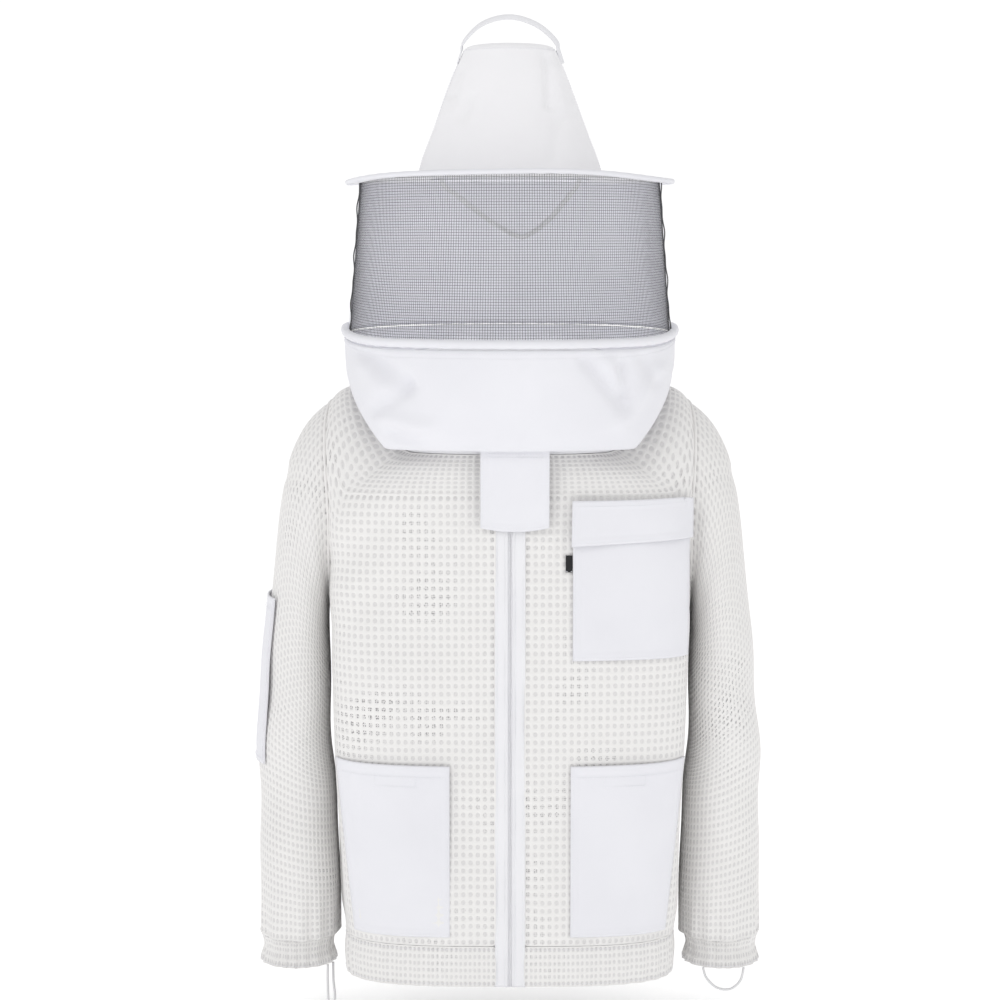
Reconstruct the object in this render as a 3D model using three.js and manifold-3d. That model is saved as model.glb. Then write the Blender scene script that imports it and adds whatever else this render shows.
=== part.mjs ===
// Ventilated beekeeping jacket with an attached round veil hat, worn and standing upright.
// Millimetres, +Z up. The front faces -Y and the wearer's left is +X.
// The origin is the middle of the neck opening, where the hood is zipped on.
import * as THREE from 'three';
import { mergeVertices } from 'three/addons/utils/BufferGeometryUtils.js';
import Module from 'manifold-3d';

// Jacket body
const jacketLength = 700;
const waistbandHeight = 50;
const hemHalfWidth = 203;
const chestHalfWidth = 219;
const frontDepth = 132;
const hemBackDepth = 116;
const chestBackDepth = 124;
const clothThickness = 4;
const seamGap = 0.3;
const drapeGap = 1.3;
const elasticWidth = 28;
const elasticThickness = 1.6;

// Neck opening
const neckHalfWidth = 147;
const neckBackDepth = 102;
const neckFrontZ = -58;
const neckSideZ = 14;
const neckBackZ = 40;
const neckMiddleY = -15;
const neckTapeHeight = 8.2;
const neckTapeThickness = 2;

// Shoulders and sleeves
const shoulderZ = -5;
const armholeHeight = 238;
const armholeHalfDepth = 80;
const sleeveGap = 3.6;
const sleeveLength = 664;
const sleeveHalfDepth = 64;
const sleeveWidth = 100;
const sleeveTuck = 8;
const sleeveInnerX = chestHalfWidth - sleeveTuck;
const sleeveOuterX = sleeveInnerX + sleeveWidth;
const cuffHeight = 37;
const cuffHalfWidth = 46.5;
const cuffHalfDepth = 50;

// Front zip
const zipHalfWidth = 17;
const zipTapeThickness = 1.2;
const coilHalfGap = 0.8;
const coilWidth = 2.4;
const coilDepth = 3.6;
const sliderLength = 13;
const sliderHalfWidth = 5.2;
const sliderTopGap = 4;
const plateThickness = 1.8;
const pullLength = 22;
const runningGap = 0.4;

// Pockets: each outline runs from the top inner corner round to the bottom inner corner
const pocketThickness = 2.4;
const flapThickness = 2;
const chestPocket = { inner: 74, outer: 211, top: -116, bottom: -303 };
const flapDrop = 50;
const flapTopZ = -112;
const lowerPocketWidth = 136;
const lowerPocketInset = 72;
const lowerPocketTop = 270;
const lowerPocketBottom = 62;
const sleevePocketTop = -240;
const sleevePocketBottom = -445;
const sleevePocketTurn = 0.12;
const patchThickness = 1.4;

// Hood
const brimRadius = 200;
const brimZ = 270;
const brimThickness = 4;
const bindingRadius = 3.2;
const headRadius = 96;
const crownBaseRadius = 112;
const crownTopRadius = 57;
const crownHeight = 148;
const feltThickness = 3;
const loopHeight = 42;
const loopWidth = 8;
const loopThickness = 2.2;
const veilTopRadius = 182;
const veilBottomRadius = 194.5;
const veilThickness = 1.6;
const veilSeamTurn = 0.026;
const hoopRadius = 200.5;
const hoopTubeRadius = 5.5;
const hoopWall = 1.5;
const wireRadius = 2;
const hoopSideZ = 86;
const hoopFrontZ = 74;
const hoopBackZ = 90;
const skirtThickness = 3;
const foldFrontZ = -52;
const foldFrontDepth = 162;

// Neck tab
const tabRight = -35;
const tabLeft = 46;
const tabTopZ = -50.5;
const tabLength = 93;
const tabTopDepth = 151;
const tabBottomDepth = 139;
const tabThickness = 2.4;

// Cords
const strapRadius = 3;
const thumbLoopRadius = 1.6;

const turnOfFront = 0.75;
const hemZ = -jacketLength;
const hemTopZ = hemZ + waistbandHeight;
const armpitZ = shoulderZ - armholeHeight;
const armholeMiddleZ = shoulderZ + 2 - armholeHeight / 2;
const armholeGap = 2 * seamGap;

const wasm = await Module();
wasm.setup();

const colours = {
  net: { color: 0xf0eeea, roughness: 0.9, metalness: 0 },
  cotton: { color: 0xeeeef2, roughness: 0.85, metalness: 0 },
  tape: { color: 0xf2f2f4, roughness: 0.7, metalness: 0 },
  coil: { color: 0xf6f6f8, roughness: 0.45, metalness: 0 },
  veil: { color: 0x2b2c2e, roughness: 0.6, metalness: 0 },
  elastic: { color: 0xe9e9ea, roughness: 0.8, metalness: 0 },
  wire: { color: 0xb9bbbd, roughness: 0.35, metalness: 0.9 },
  pull: { color: 0xf4f4f4, roughness: 0.4, metalness: 0 },
  tag: { color: 0x161616, roughness: 0.7, metalness: 0 },
};

function mix(a, b, t) {
  return a + (b - a) * t;
}

// Merges a geometry's shared corners and turns its faces outward.
function closedBody(geometry) {
  geometry.deleteAttribute('normal');
  geometry.deleteAttribute('uv');
  const merged = mergeVertices(geometry, 1e-4);
  const position = merged.attributes.position;
  const index = merged.index.array;
  const kept = [];
  let volume = 0;
  const corner = [new THREE.Vector3(), new THREE.Vector3(), new THREE.Vector3()];
  for (let i = 0; i < index.length; i += 3) {
    const [a, b, c] = [index[i], index[i + 1], index[i + 2]];
    if (a === b || b === c || a === c) continue;
    kept.push(a, b, c);
    corner[0].fromBufferAttribute(position, a);
    corner[1].fromBufferAttribute(position, b);
    corner[2].fromBufferAttribute(position, c);
    volume += corner[0].dot(corner[1].cross(corner[2]));
  }
  if (volume < 0) kept.reverse();
  merged.setIndex(kept);
  merged.computeVertexNormals();
  return merged;
}

function toManifold(geometry) {
  const body = closedBody(geometry.clone());
  const vertProperties = new Float32Array(body.attributes.position.array);
  const triVerts = new Uint32Array(body.index.array);
  return new wasm.Manifold(new wasm.Mesh({ numProp: 3, vertProperties, triVerts }));
}

function fromManifold(solid) {
  const mesh = solid.getMesh();
  const geometry = new THREE.BufferGeometry();
  geometry.setAttribute('position', new THREE.BufferAttribute(mesh.vertProperties, 3));
  geometry.setIndex(new THREE.BufferAttribute(mesh.triVerts, 1));
  return geometry;
}

// Moves every corner of a geometry to the place that the function gives for it.
function bent(geometry, place) {
  const position = geometry.attributes.position;
  const corner = new THREE.Vector3();
  for (let i = 0; i < position.count; i += 1) {
    corner.fromBufferAttribute(position, i);
    const moved = place(corner);
    position.setXYZ(i, moved.x, moved.y, moved.z);
  }
  return geometry;
}

// A point of a cloth surface, pushed out along the surface's normal.
function offsetPoint(surface, across, along, offset) {
  const step = 1e-4;
  const sideways = surface(across + step, along).sub(surface(across - step, along));
  const upward = surface(across, along + step).sub(surface(across, along - step));
  const normal = sideways.cross(upward).normalize();
  return surface(across, along).addScaledVector(normal, offset);
}

// Evenly spaced values from one end to the other.
function spaced(from, to, cells) {
  return Array.from({ length: cells + 1 }, (_, i) => mix(from, to, i / cells));
}

// An open piece of cloth on a surface, between two offsets from it.
function sheet(surface, area, inner, outer) {
  const stations = area.stations ?? spaced(area.across[0], area.across[1], area.cells[0]);
  const last = stations.length - 1;
  const box = new THREE.BoxGeometry(1, 1, 1, last, area.cells[1], 1);
  return bent(box, (p) => offsetPoint(
    surface,
    stations[Math.round((p.x + 0.5) * last)],
    mix(area.along[0], area.along[1], p.y + 0.5),
    mix(inner, outer, p.z + 0.5),
  ));
}

// A cloth tube that closes on itself sideways, between two offsets from its surface.
function tube(surface, area, inner, outer) {
  const base = 10;
  const profile = [];
  for (let i = 0; i <= area.cells[1]; i += 1) {
    profile.push(new THREE.Vector2(base + 1, i / area.cells[1]));
  }
  for (let i = area.cells[1]; i >= 0; i -= 1) {
    profile.push(new THREE.Vector2(base, i / area.cells[1]));
  }
  profile.push(profile[0].clone());
  const lathe = new THREE.LatheGeometry(profile, area.cells[0]);
  return bent(lathe, (p) => offsetPoint(
    surface,
    Math.atan2(p.x, p.z) / (2 * Math.PI),
    mix(area.along[0], area.along[1], p.y),
    mix(inner, outer, Math.hypot(p.x, p.z) - base),
  ));
}

// A point of one loop round the body. Height changes smoothly from side to front and to back.
function loopPoint(row, turn) {
  const angle = turn * 2 * Math.PI;
  const c = Math.cos(angle);
  const s = Math.sin(angle);
  const middle = row.middle ?? neckMiddleY;
  const depth = s < 0 ? middle + row.front : row.back - middle;
  const power = row.squareness ?? 2;
  const radius = (Math.abs(c / row.half) ** power + Math.abs(s / depth) ** power) ** (-1 / power);
  const deep = (s * radius) / depth;
  const frontZ = row.frontZ ?? row.z;
  const backZ = row.backZ ?? row.z;
  const share = Math.min(1, s < 0 ? -deep / 0.74 : deep / 0.9);
  const eased = row.rise ? share ** row.rise : Math.sin((share * Math.PI) / 2);
  const z = mix(row.z, s < 0 ? frontZ : backZ, eased);
  return new THREE.Vector3(radius * c, middle + radius * s, z);
}

// A surface through a list of rows, with `along` counted in rows.
function loft(rows, pointOf = loopPoint) {
  return (turn, along) => {
    const points = rows.map((row) => pointOf(row, turn));
    const share = THREE.MathUtils.clamp(along / (rows.length - 1), 0, 1);
    return new THREE.CatmullRomCurve3(points).getPoint(share);
  };
}

// The point of a surface that has the given Z and the given X, or Y if the key says so.
function findOn(surface, key, value, z, start) {
  const step = 1e-4;
  const limit = 0.015;
  let { turn, along } = start;
  for (let i = 0; i < 20; i += 1) {
    const here = surface(turn, along);
    const dTurn = surface(turn + step, along).sub(here).divideScalar(step);
    const dAlong = surface(turn, along + step).sub(here).divideScalar(step);
    const det = dTurn[key] * dAlong.z - dAlong[key] * dTurn.z;
    const miss = value - here[key];
    const missZ = z - here.z;
    turn += THREE.MathUtils.clamp((miss * dAlong.z - dAlong[key] * missZ) / det, -limit, limit);
    along += THREE.MathUtils.clamp((dTurn[key] * missZ - miss * dTurn.z) / det, -0.5, 0.5);
  }
  return surface(turn, along);
}

// Body rows from the waistband seam up to the neck
const hipZ = mix(hemTopZ, armpitZ, 0.3);
const hipHalfWidth = mix(hemHalfWidth, chestHalfWidth, 0.4);
const body = loft([
  { z: hemTopZ, half: hemHalfWidth, front: frontDepth, back: hemBackDepth, squareness: 3.4 },
  {
    z: hipZ, half: hipHalfWidth, front: frontDepth, back: mix(hemBackDepth, chestBackDepth, 0.7),
    squareness: 4,
  },
  { z: armpitZ - 60, half: chestHalfWidth - 2, front: frontDepth, back: chestBackDepth, squareness: 5 },
  {
    z: mix(armpitZ, shoulderZ, 0.35), half: chestHalfWidth, front: frontDepth, back: chestBackDepth - 4,
    squareness: 5,
  },
  {
    z: shoulderZ, frontZ: shoulderZ - 100, backZ: shoulderZ - 75,
    half: chestHalfWidth, front: frontDepth, back: chestBackDepth - 12, squareness: 4, rise: 2.4,
  },
  {
    z: neckSideZ + 2, frontZ: neckFrontZ - 20, backZ: neckBackZ - 60,
    half: mix(neckHalfWidth, chestHalfWidth, 0.66), front: frontDepth, back: neckBackDepth + 4,
    squareness: 2.8, rise: 1.8,
  },
  {
    z: neckSideZ, frontZ: neckFrontZ, backZ: neckBackZ,
    half: neckHalfWidth, front: frontDepth, back: neckBackDepth, squareness: 2.4,
  },
]);
const shoulderRow = 4;
const neckRow = 6;
const zipTurn = Math.atan(zipHalfWidth / (frontDepth + neckMiddleY)) / (2 * Math.PI);
const seamTurn = seamGap / (2 * Math.PI * frontDepth);
const seamRow = 0.014;

function armholeCutter(side) {
  const length = 200;
  const innerX = mix(neckHalfWidth, chestHalfWidth, 0.4);
  const cutter = new THREE.CylinderGeometry(1, 1, length, 40);
  cutter.rotateZ(Math.PI / 2);
  cutter.scale(1, armholeHalfDepth, armholeHeight / 2);
  cutter.translate(side * (innerX + length / 2), 0, armholeMiddleZ);
  return toManifold(cutter);
}

function bodyPanel(stations, along, rows) {
  const area = { stations, along, cells: [0, rows] };
  let solid = toManifold(sheet(body, area, -clothThickness, 0));
  for (const side of [1, -1]) {
    solid = solid.subtract(armholeCutter(side));
  }
  return fromManifold(solid);
}

const object = new THREE.Group();

function add(parent, name, geometry, look) {
  const mesh = new THREE.Mesh(closedBody(geometry), new THREE.MeshStandardMaterial(colours[look]));
  mesh.name = name;
  parent.add(mesh);
  return mesh;
}

function box(x, y, z) {
  const block = new THREE.BoxGeometry(x[1] - x[0], y[1] - y[0], z[1] - z[0]);
  return block.translate((x[0] + x[1]) / 2, (y[0] + y[1]) / 2, (z[0] + z[1]) / 2);
}

// Jacket body
const frontY = -frontDepth;
const rightEdge = turnOfFront - zipTurn - seamTurn;
const leftEdge = turnOfFront + zipTurn + seamTurn;
const leftStations = spaced(leftEdge, 1 - seamTurn, 10);
const backStations = spaced(1 + seamTurn, 1.5 - seamTurn, 14);
const rightStations = spaced(1.5 + seamTurn, 1 + rightEdge, 10);
const roundStations = [...leftStations, ...backStations, ...rightStations];
const panelRows = [0.002, shoulderRow - seamRow];
add(object, 'right_front_panel', bodyPanel(rightStations, panelRows, 12), 'net');
add(object, 'left_front_panel', bodyPanel(leftStations, panelRows, 12), 'net');
add(object, 'back_panel', bodyPanel(backStations, panelRows, 12), 'net');
const yokeRows = [shoulderRow + seamRow, neckRow - 0.01];
add(object, 'shoulder_yoke', bodyPanel(roundStations, yokeRows, 5), 'net');

const hem = loft([hemZ, hemTopZ - seamGap].map((z) => ({
  z, half: hemHalfWidth, front: frontDepth, back: hemBackDepth, squareness: 3.4,
})));
const bandArea = { stations: roundStations, along: [0, 1], cells: [0, 2] };
add(object, 'waistband', sheet(hem, bandArea, -clothThickness, 0), 'net');
const elasticShare = elasticWidth / waistbandHeight / 2;
const elasticArea = {
  stations: roundStations.slice(5, -5), along: [0.5 - elasticShare, 0.5 + elasticShare], cells: [0, 1],
};
const elasticOuter = -clothThickness - seamGap;
const elasticInner = elasticOuter - elasticThickness;
add(object, 'waist_elastic', sheet(hem, elasticArea, elasticInner, elasticOuter), 'elastic');

// Neck opening: the lower half of its zip is on the jacket and the upper half on the hood
const neck = loft([0, 1, 2].map((row) => {
  const rise = row * (neckTapeHeight + seamGap) + seamGap;
  return {
    z: neckSideZ + rise, frontZ: neckFrontZ + rise, backZ: neckBackZ + rise,
    half: neckHalfWidth, front: frontDepth, back: neckBackDepth, squareness: 2.4,
  };
}));
const tapeEnd = seamGap / neckTapeHeight;
const lowerTapeArea = { stations: roundStations, along: [0, 1 - tapeEnd], cells: [0, 1] };
add(object, 'neck_zip_lower_tape', sheet(neck, lowerTapeArea, -neckTapeThickness, 0), 'tape');

// Front zip: two tapes with a coil each, and a slider that straddles the coils
const zipTopZ = neckFrontZ - 2 * seamGap;
const zipBottomZ = hemZ;
const coilOuter = coilHalfGap + coilWidth;
const tapeFront = frontY + 1;
const coilFront = tapeFront + zipTapeThickness / 2 - coilDepth / 2;
for (const [name, side] of [['right', -1], ['left', 1]]) {
  const heights = [zipBottomZ, zipTopZ];
  const tapeX = [coilOuter + seamGap, zipHalfWidth - seamGap];
  const tape = box(tapeX, [tapeFront, tapeFront + zipTapeThickness], heights);
  const coil = box([coilHalfGap, coilOuter], [coilFront, coilFront + coilDepth], heights);
  add(object, `front_zip_tape_${name}`, tape.scale(side, 1, 1), 'tape');
  add(object, `front_zip_coil_${name}`, coil.scale(side, 1, 1), 'coil');
}

const slider = new THREE.Group();
slider.position.set(0, frontY, zipTopZ - sliderTopGap);
object.add(slider);
const frontPlateY = coilFront - frontY - runningGap;
const backPlateY = frontPlateY + coilDepth + 2 * runningGap;
const plates = [
  box([-sliderHalfWidth, sliderHalfWidth], [frontPlateY - plateThickness, frontPlateY], [-sliderLength, 0]),
  box([-sliderHalfWidth, sliderHalfWidth], [backPlateY, backPlateY + plateThickness], [-sliderLength, 0]),
  box([seamGap - coilHalfGap, coilHalfGap - seamGap], [frontPlateY - 1, backPlateY + 1], [-5, -1]),
  box([-2, 2], [frontPlateY - plateThickness - 1.9, frontPlateY - 1], [-8, -4]),
].map((plate) => toManifold(plate));
add(slider, 'front_zip_slider', fromManifold(plates.reduce((a, b) => a.add(b))), 'coil');
const pull = new THREE.Group();
pull.position.set(0, frontPlateY - plateThickness - 1.3, -6);
slider.add(pull);
const pullHole = toManifold(box([-2.6, 2.6], [-9, 9], [-4.4, 2.6]));
const pullPlate = toManifold(box([-4.5, 4.5], [-1.6, 0], [-pullLength, 4.4]));
add(pull, 'front_zip_pull', fromManifold(pullPlate.subtract(pullHole)), 'pull');

// Neck zip slider at the front of the ring
const neckSliderZ = neckFrontZ + neckTapeHeight + 1.5 * seamGap;
const neckSlider = box([20, 32], [frontY - 2.8, frontY - seamGap], [neckSliderZ - 3.5, neckSliderZ + 3.5]);
add(object, 'neck_zip_slider', neckSlider, 'coil');

// Pockets sewn on the outside. Their surface follows the jacket between four corners.
function frontPatch(corners, startRow) {
  return (across, along) => {
    const [x, z] = [0, 1].map((k) => mix(
      mix(corners[0][k], corners[1][k], across),
      mix(corners[3][k], corners[2][k], across),
      along,
    ));
    const turn = turnOfFront + Math.atan(x / (frontDepth + neckMiddleY)) / (2 * Math.PI);
    return findOn(body, 'x', x, z, { turn, along: startRow });
  };
}

function patchSheet(corners, startRow, cells, inner, thickness) {
  const patch = frontPatch(corners, startRow);
  return sheet(patch, { across: [0, 1], along: [0, 1], cells }, inner, inner + thickness);
}

const whole = chestPocket;
add(object, 'chest_pocket', patchSheet([
  [whole.inner, whole.bottom], [whole.outer, whole.bottom + 2],
  [whole.outer + 1, whole.top], [whole.inner, whole.top],
], 3, [20, 5], drapeGap, pocketThickness), 'cotton');
const patchInner = drapeGap + pocketThickness + seamGap;
const flapInner = patchInner + patchThickness + seamGap;
add(object, 'chest_pocket_loop_patch', patchSheet([
  [whole.inner + 30, flapTopZ - 40], [whole.outer - 40, flapTopZ - 40],
  [whole.outer - 40, flapTopZ - 22], [whole.inner + 30, flapTopZ - 22],
], 3, [6, 1], patchInner, patchThickness), 'tape');
add(object, 'chest_flap', patchSheet([
  [whole.inner - 2, flapTopZ - flapDrop - 4], [whole.outer, flapTopZ - flapDrop + 3],
  [whole.outer + 1, flapTopZ], [whole.inner - 1, flapTopZ],
], 3, [16, 3], flapInner, flapThickness), 'cotton');
add(object, 'pocket_tag', patchSheet([
  [whole.inner - 8.5, -197], [whole.inner - 0.6, -197], [whole.inner - 0.6, -177], [whole.inner - 8.5, -177],
], 3, [1, 1], seamGap, 0.8), 'tag');
const lowerTop = hemZ + lowerPocketTop;
const lowerBottom = hemZ + lowerPocketBottom;
for (const [name, side] of [['right', -1], ['left', 1]]) {
  const innerX = side * lowerPocketInset;
  const outerX = side * (lowerPocketInset + lowerPocketWidth);
  const corners = [
    [innerX, lowerBottom], [outerX - side * 22, lowerBottom], [outerX, lowerTop + 3], [innerX, lowerTop],
  ];
  if (side < 0) corners.splice(0, 4, corners[1], corners[0], corners[3], corners[2]);
  add(object, `lower_pocket_${name}`, patchSheet(corners, 1, [14, 6], drapeGap, pocketThickness), 'cotton');
}

// Loop patches each side of the zip, under the neck tab
const patchSpans = [['right', tabRight + 2, -zipHalfWidth - 1], ['left', zipHalfWidth + 1, tabLeft - 4]];
for (const [name, from, to] of patchSpans) {
  const patch = [[from, -138], [to, -138], [to, -100], [from, -100]];
  add(object, `tab_loop_patch_${name}`, patchSheet(patch, 3.5, [2, 2], seamGap, patchThickness), 'tape');
}

// The sleeve's end sits in the armhole, just inside the panels' cut edge.
function armholePoint(angle, reach) {
  const y = (armholeHalfDepth - armholeGap) * Math.sin(angle);
  const z = armholeMiddleZ + (armholeHeight / 2 - armholeGap) * Math.cos(angle);
  const turn = Math.atan2(y - neckMiddleY, chestHalfWidth) / (2 * Math.PI);
  const point = findOn(body, 'y', y, z, { turn, along: 3 });
  return point.setX(point.x + reach);
}

// Sleeves. A row runs from its inner point to its outer point; the first row is the armhole.
function sleevePoint(row, turn) {
  const angle = turn * 2 * Math.PI;
  if (row.armhole) return armholePoint(angle, row.armhole);
  const middleX = (row.inner[0] + row.outer[0]) / 2;
  const middleZ = (row.inner[1] + row.outer[1]) / 2;
  const reach = Math.cos(angle) / 2;
  return new THREE.Vector3(
    middleX + (row.outer[0] - row.inner[0]) * reach,
    row.depth * Math.sin(angle),
    middleZ + (row.outer[1] - row.inner[1]) * reach,
  );
}

const armholeX = chestHalfWidth + sleeveGap;
const sleeveRows = [
  { armhole: -1 },
  { armhole: 2 },
  { inner: [armholeX, armpitZ - 20], outer: [armholeX + 24, shoulderZ - 22], depth: armholeHalfDepth + 4 },
  { inner: [armholeX, armpitZ - 43], outer: [armholeX + 46, shoulderZ - 63], depth: armholeHalfDepth + 2 },
  { inner: [armholeX - 0.5, armpitZ - 72], outer: [armholeX + 58, shoulderZ - 118], depth: armholeHalfDepth },
  {
    inner: [armholeX - 1, armpitZ - 112], outer: [armholeX + 67, shoulderZ - 195],
    depth: armholeHalfDepth - 4,
  },
  {
    inner: [armholeX - 2, armpitZ - 180], outer: [armholeX + 78, shoulderZ - 300],
    depth: armholeHalfDepth - 8,
  },
  {
    inner: [sleeveInnerX + 5, mix(armpitZ, -sleeveLength, 0.56)],
    outer: [sleeveOuterX - 1, mix(shoulderZ, -sleeveLength, 0.66)],
    depth: sleeveHalfDepth + 4,
  },
  {
    inner: [sleeveInnerX, mix(armpitZ, -sleeveLength, 0.85)],
    outer: [sleeveOuterX, mix(shoulderZ, -sleeveLength, 0.87)],
    depth: sleeveHalfDepth,
  },
  { inner: [sleeveInnerX, -sleeveLength], outer: [sleeveOuterX, -sleeveLength], depth: sleeveHalfDepth - 2 },
];
const sleeveSurface = loft(sleeveRows, sleevePoint);
const cuffMiddleX = (sleeveInnerX + sleeveOuterX) / 2 + 3;
const cuffTopZ = -sleeveLength - 2 * seamGap;
const cuffSurface = loft([0, 0.4, 1].map((share, row) => ({
  inner: [cuffMiddleX - cuffHalfWidth + [0, 2, -1][row], mix(cuffTopZ, cuffTopZ - cuffHeight, share)],
  outer: [cuffMiddleX + cuffHalfWidth - [0, 2, -1][row], mix(cuffTopZ, cuffTopZ - cuffHeight, share)],
  depth: cuffHalfDepth - [0, 2, -1][row],
})), sleevePoint);

for (const [name, side] of [['right', -1], ['left', 1]]) {
  const arm = (geometry) => geometry.scale(side, 1, 1);
  const sleeveArea = { along: [0, 9], cells: [20, 13] };
  add(object, `sleeve_${name}`, arm(tube(sleeveSurface, sleeveArea, 0, clothThickness)), 'net');
  const cuff = tube(cuffSurface, { along: [0, 2], cells: [22, 3] }, 0, clothThickness);
  add(object, `cuff_${name}`, arm(cuff), 'net');
  const elasticPart = { along: [0.7, 1.3], cells: [22, 1] };
  const elastic = tube(cuffSurface, elasticPart, -elasticOuter, elasticThickness - elasticOuter);
  add(object, `cuff_elastic_${name}`, arm(elastic), 'elastic');
}

// Sleeve pocket on the outer side of the right sleeve
function onSleeve(across, z) {
  let along = 6;
  for (let i = 0; i < 10; i += 1) {
    const here = sleeveSurface(across, along);
    const slope = (sleeveSurface(across, along + 1e-4).z - here.z) / 1e-4;
    along += (z - here.z) / slope;
  }
  return sleeveSurface(across, along);
}
const sleevePocketArea = {
  across: [-sleevePocketTurn, sleevePocketTurn], along: [sleevePocketBottom, sleevePocketTop], cells: [10, 8],
};
const sleevePocketOuter = 2 * seamGap + pocketThickness;
const sleevePocket = sheet(onSleeve, sleevePocketArea, 2 * seamGap, sleevePocketOuter);
add(object, 'sleeve_pocket', sleevePocket.scale(-1, 1, 1), 'cotton');

function cord(points, radius, steps) {
  const section = new THREE.Shape().absarc(0, 0, radius, 0, 2 * Math.PI);
  const path = new THREE.CatmullRomCurve3(points.map((p) => new THREE.Vector3(...p)));
  const options = { steps, curveSegments: 4, bevelEnabled: false, extrudePath: path };
  return new THREE.ExtrudeGeometry(section, options);
}

// Finger loops of cord from the cuff hems
const cuffEndZ = cuffTopZ - cuffHeight - seamGap - 0.6;
add(object, 'thumb_loop_left', cord([
  [239, -42, cuffEndZ], [243, -45, cuffEndZ - 12], [256, -48, cuffEndZ - 24], [272, -48, cuffEndZ - 26],
  [285, -46, cuffEndZ - 16], [290, -41, cuffEndZ],
], thumbLoopRadius, 12), 'elastic');
add(object, 'thumb_loop_right', cord([
  [-226, -29, cuffEndZ], [-226, -33, cuffEndZ - 22], [-224, -38, cuffEndZ - 46], [-220, -40, cuffEndZ - 50],
  [-217, -38, cuffEndZ - 40], [-219, -31, cuffEndZ - 20], [-220, -19, cuffEndZ],
], thumbLoopRadius, 14), 'elastic');

// Hood skirt: from the neck zip it folds out and down, then rises to the hoop
const hood = new THREE.Group();
object.add(hood);
const upperTapeArea = { along: [1 + 3 * tapeEnd, 2 - tapeEnd], cells: [36, 1] };
add(hood, 'neck_zip_upper_tape', tube(neck, upperTapeArea, -neckTapeThickness, 0), 'tape');
const skirtRise = 2 * (neckTapeHeight + seamGap) + 3 * seamGap;
const skirtTop = hoopTubeRadius + 6 * seamGap;
const skirt = loft([
  {
    z: neckSideZ + skirtRise, frontZ: neckFrontZ + skirtRise, backZ: neckBackZ + skirtRise,
    half: neckHalfWidth, front: frontDepth, back: neckBackDepth, squareness: 2.4,
  },
  {
    z: neckSideZ + 14, frontZ: foldFrontZ + 5, backZ: 57,
    half: 168, front: 148, back: 107, squareness: 2.4, rise: 1.5,
  },
  {
    z: 25, frontZ: foldFrontZ, backZ: 60,
    half: 193, front: foldFrontDepth, back: 116, squareness: 2.4, rise: 1.9,
  },
  {
    z: 34, frontZ: foldFrontZ + 13, backZ: 63,
    half: 198, front: foldFrontDepth + 11, back: 130, squareness: 2.4, rise: 1.9, middle: -12,
  },
  {
    z: 47, frontZ: foldFrontZ + 47, backZ: 65,
    half: 200, front: 184, back: 158, squareness: 2.3, rise: 1.6, middle: -8,
  },
  {
    z: 63, frontZ: foldFrontZ + 90, backZ: 71,
    half: 201, front: 197, back: 192, squareness: 2.1, rise: 1.3, middle: -3,
  },
  {
    z: hoopSideZ - skirtTop, frontZ: hoopFrontZ - skirtTop, backZ: hoopBackZ - skirtTop,
    half: hoopRadius + 1, front: hoopRadius + 1, back: hoopRadius + 1, middle: 0,
  },
]);
add(hood, 'hood_skirt', tube(skirt, { along: [0, 6], cells: [36, 10] }, -skirtThickness, 0), 'cotton');

// The hoop's height round the veil
function hoopLift(p) {
  const radius = Math.hypot(p.x, p.y);
  const row = { z: hoopSideZ, frontZ: hoopFrontZ, backZ: hoopBackZ, half: 1, front: 1, back: 1, middle: 0 };
  const turn = Math.atan2(p.y, p.x) / (2 * Math.PI);
  return new THREE.Vector3(p.x, p.y, p.z + (radius > 0 ? loopPoint(row, turn).z : hoopSideZ));
}

// A ring of a closed section, given as [radius, height] points
function ring(section, segments) {
  const profile = section.map(([x, y]) => new THREE.Vector2(x, y));
  profile.push(profile[0].clone());
  return new THREE.LatheGeometry(profile, segments).rotateX(Math.PI / 2);
}

function arcPoints(centre, radius, from, to, count) {
  return Array.from({ length: count }, (_, i) => {
    const angle = mix(from, to, i / (count - 1));
    return [centre[0] + radius * Math.cos(angle), centre[1] + radius * Math.sin(angle)];
  });
}

const casingStart = Math.PI * 1.3;
const casingEnd = Math.PI * 3.1;
const casing = [
  ...arcPoints([hoopRadius, 0], hoopTubeRadius, casingStart, casingEnd, 7),
  ...arcPoints([hoopRadius, 0], hoopTubeRadius - hoopWall, casingEnd, casingStart, 7),
];
add(hood, 'hoop_casing', bent(ring(casing, 36), hoopLift), 'cotton');
const wireGap = hoopTubeRadius - hoopWall - wireRadius - seamGap;
const wire = arcPoints([hoopRadius, -wireGap], wireRadius, 0, 1.667 * Math.PI, 6);
add(hood, 'hoop_wire', bent(ring(wire, 36), hoopLift), 'wire');

// Veil: dark net in front and white cotton behind, joined by two dark seam tapes
const veilTopZ = brimZ - brimThickness - 3;
const veil = loft([
  {
    z: hoopSideZ, frontZ: hoopFrontZ, backZ: hoopBackZ,
    half: veilBottomRadius, front: veilBottomRadius, back: veilBottomRadius, middle: 0,
  },
  {
    z: veilTopZ - 6, frontZ: veilTopZ, backZ: veilTopZ - 1,
    half: veilTopRadius, front: veilTopRadius, back: veilTopRadius, middle: 0,
  },
]);
const rightSeam = 0.5 + veilSeamTurn;
const leftSeam = 1 - veilSeamTurn;
const veilGap = seamGap / (2 * Math.PI * veilTopRadius);
const veilParts = [
  ['veil_front', [rightSeam + veilGap, leftSeam - veilGap], 'veil'],
  ['veil_back', [leftSeam + veilGap - 1, rightSeam - veilGap], 'cotton'],
];
for (const [name, across, look] of veilParts) {
  add(hood, name, sheet(veil, { across, along: [0, 1], cells: [20, 3] }, -veilThickness, 0), look);
}
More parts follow.
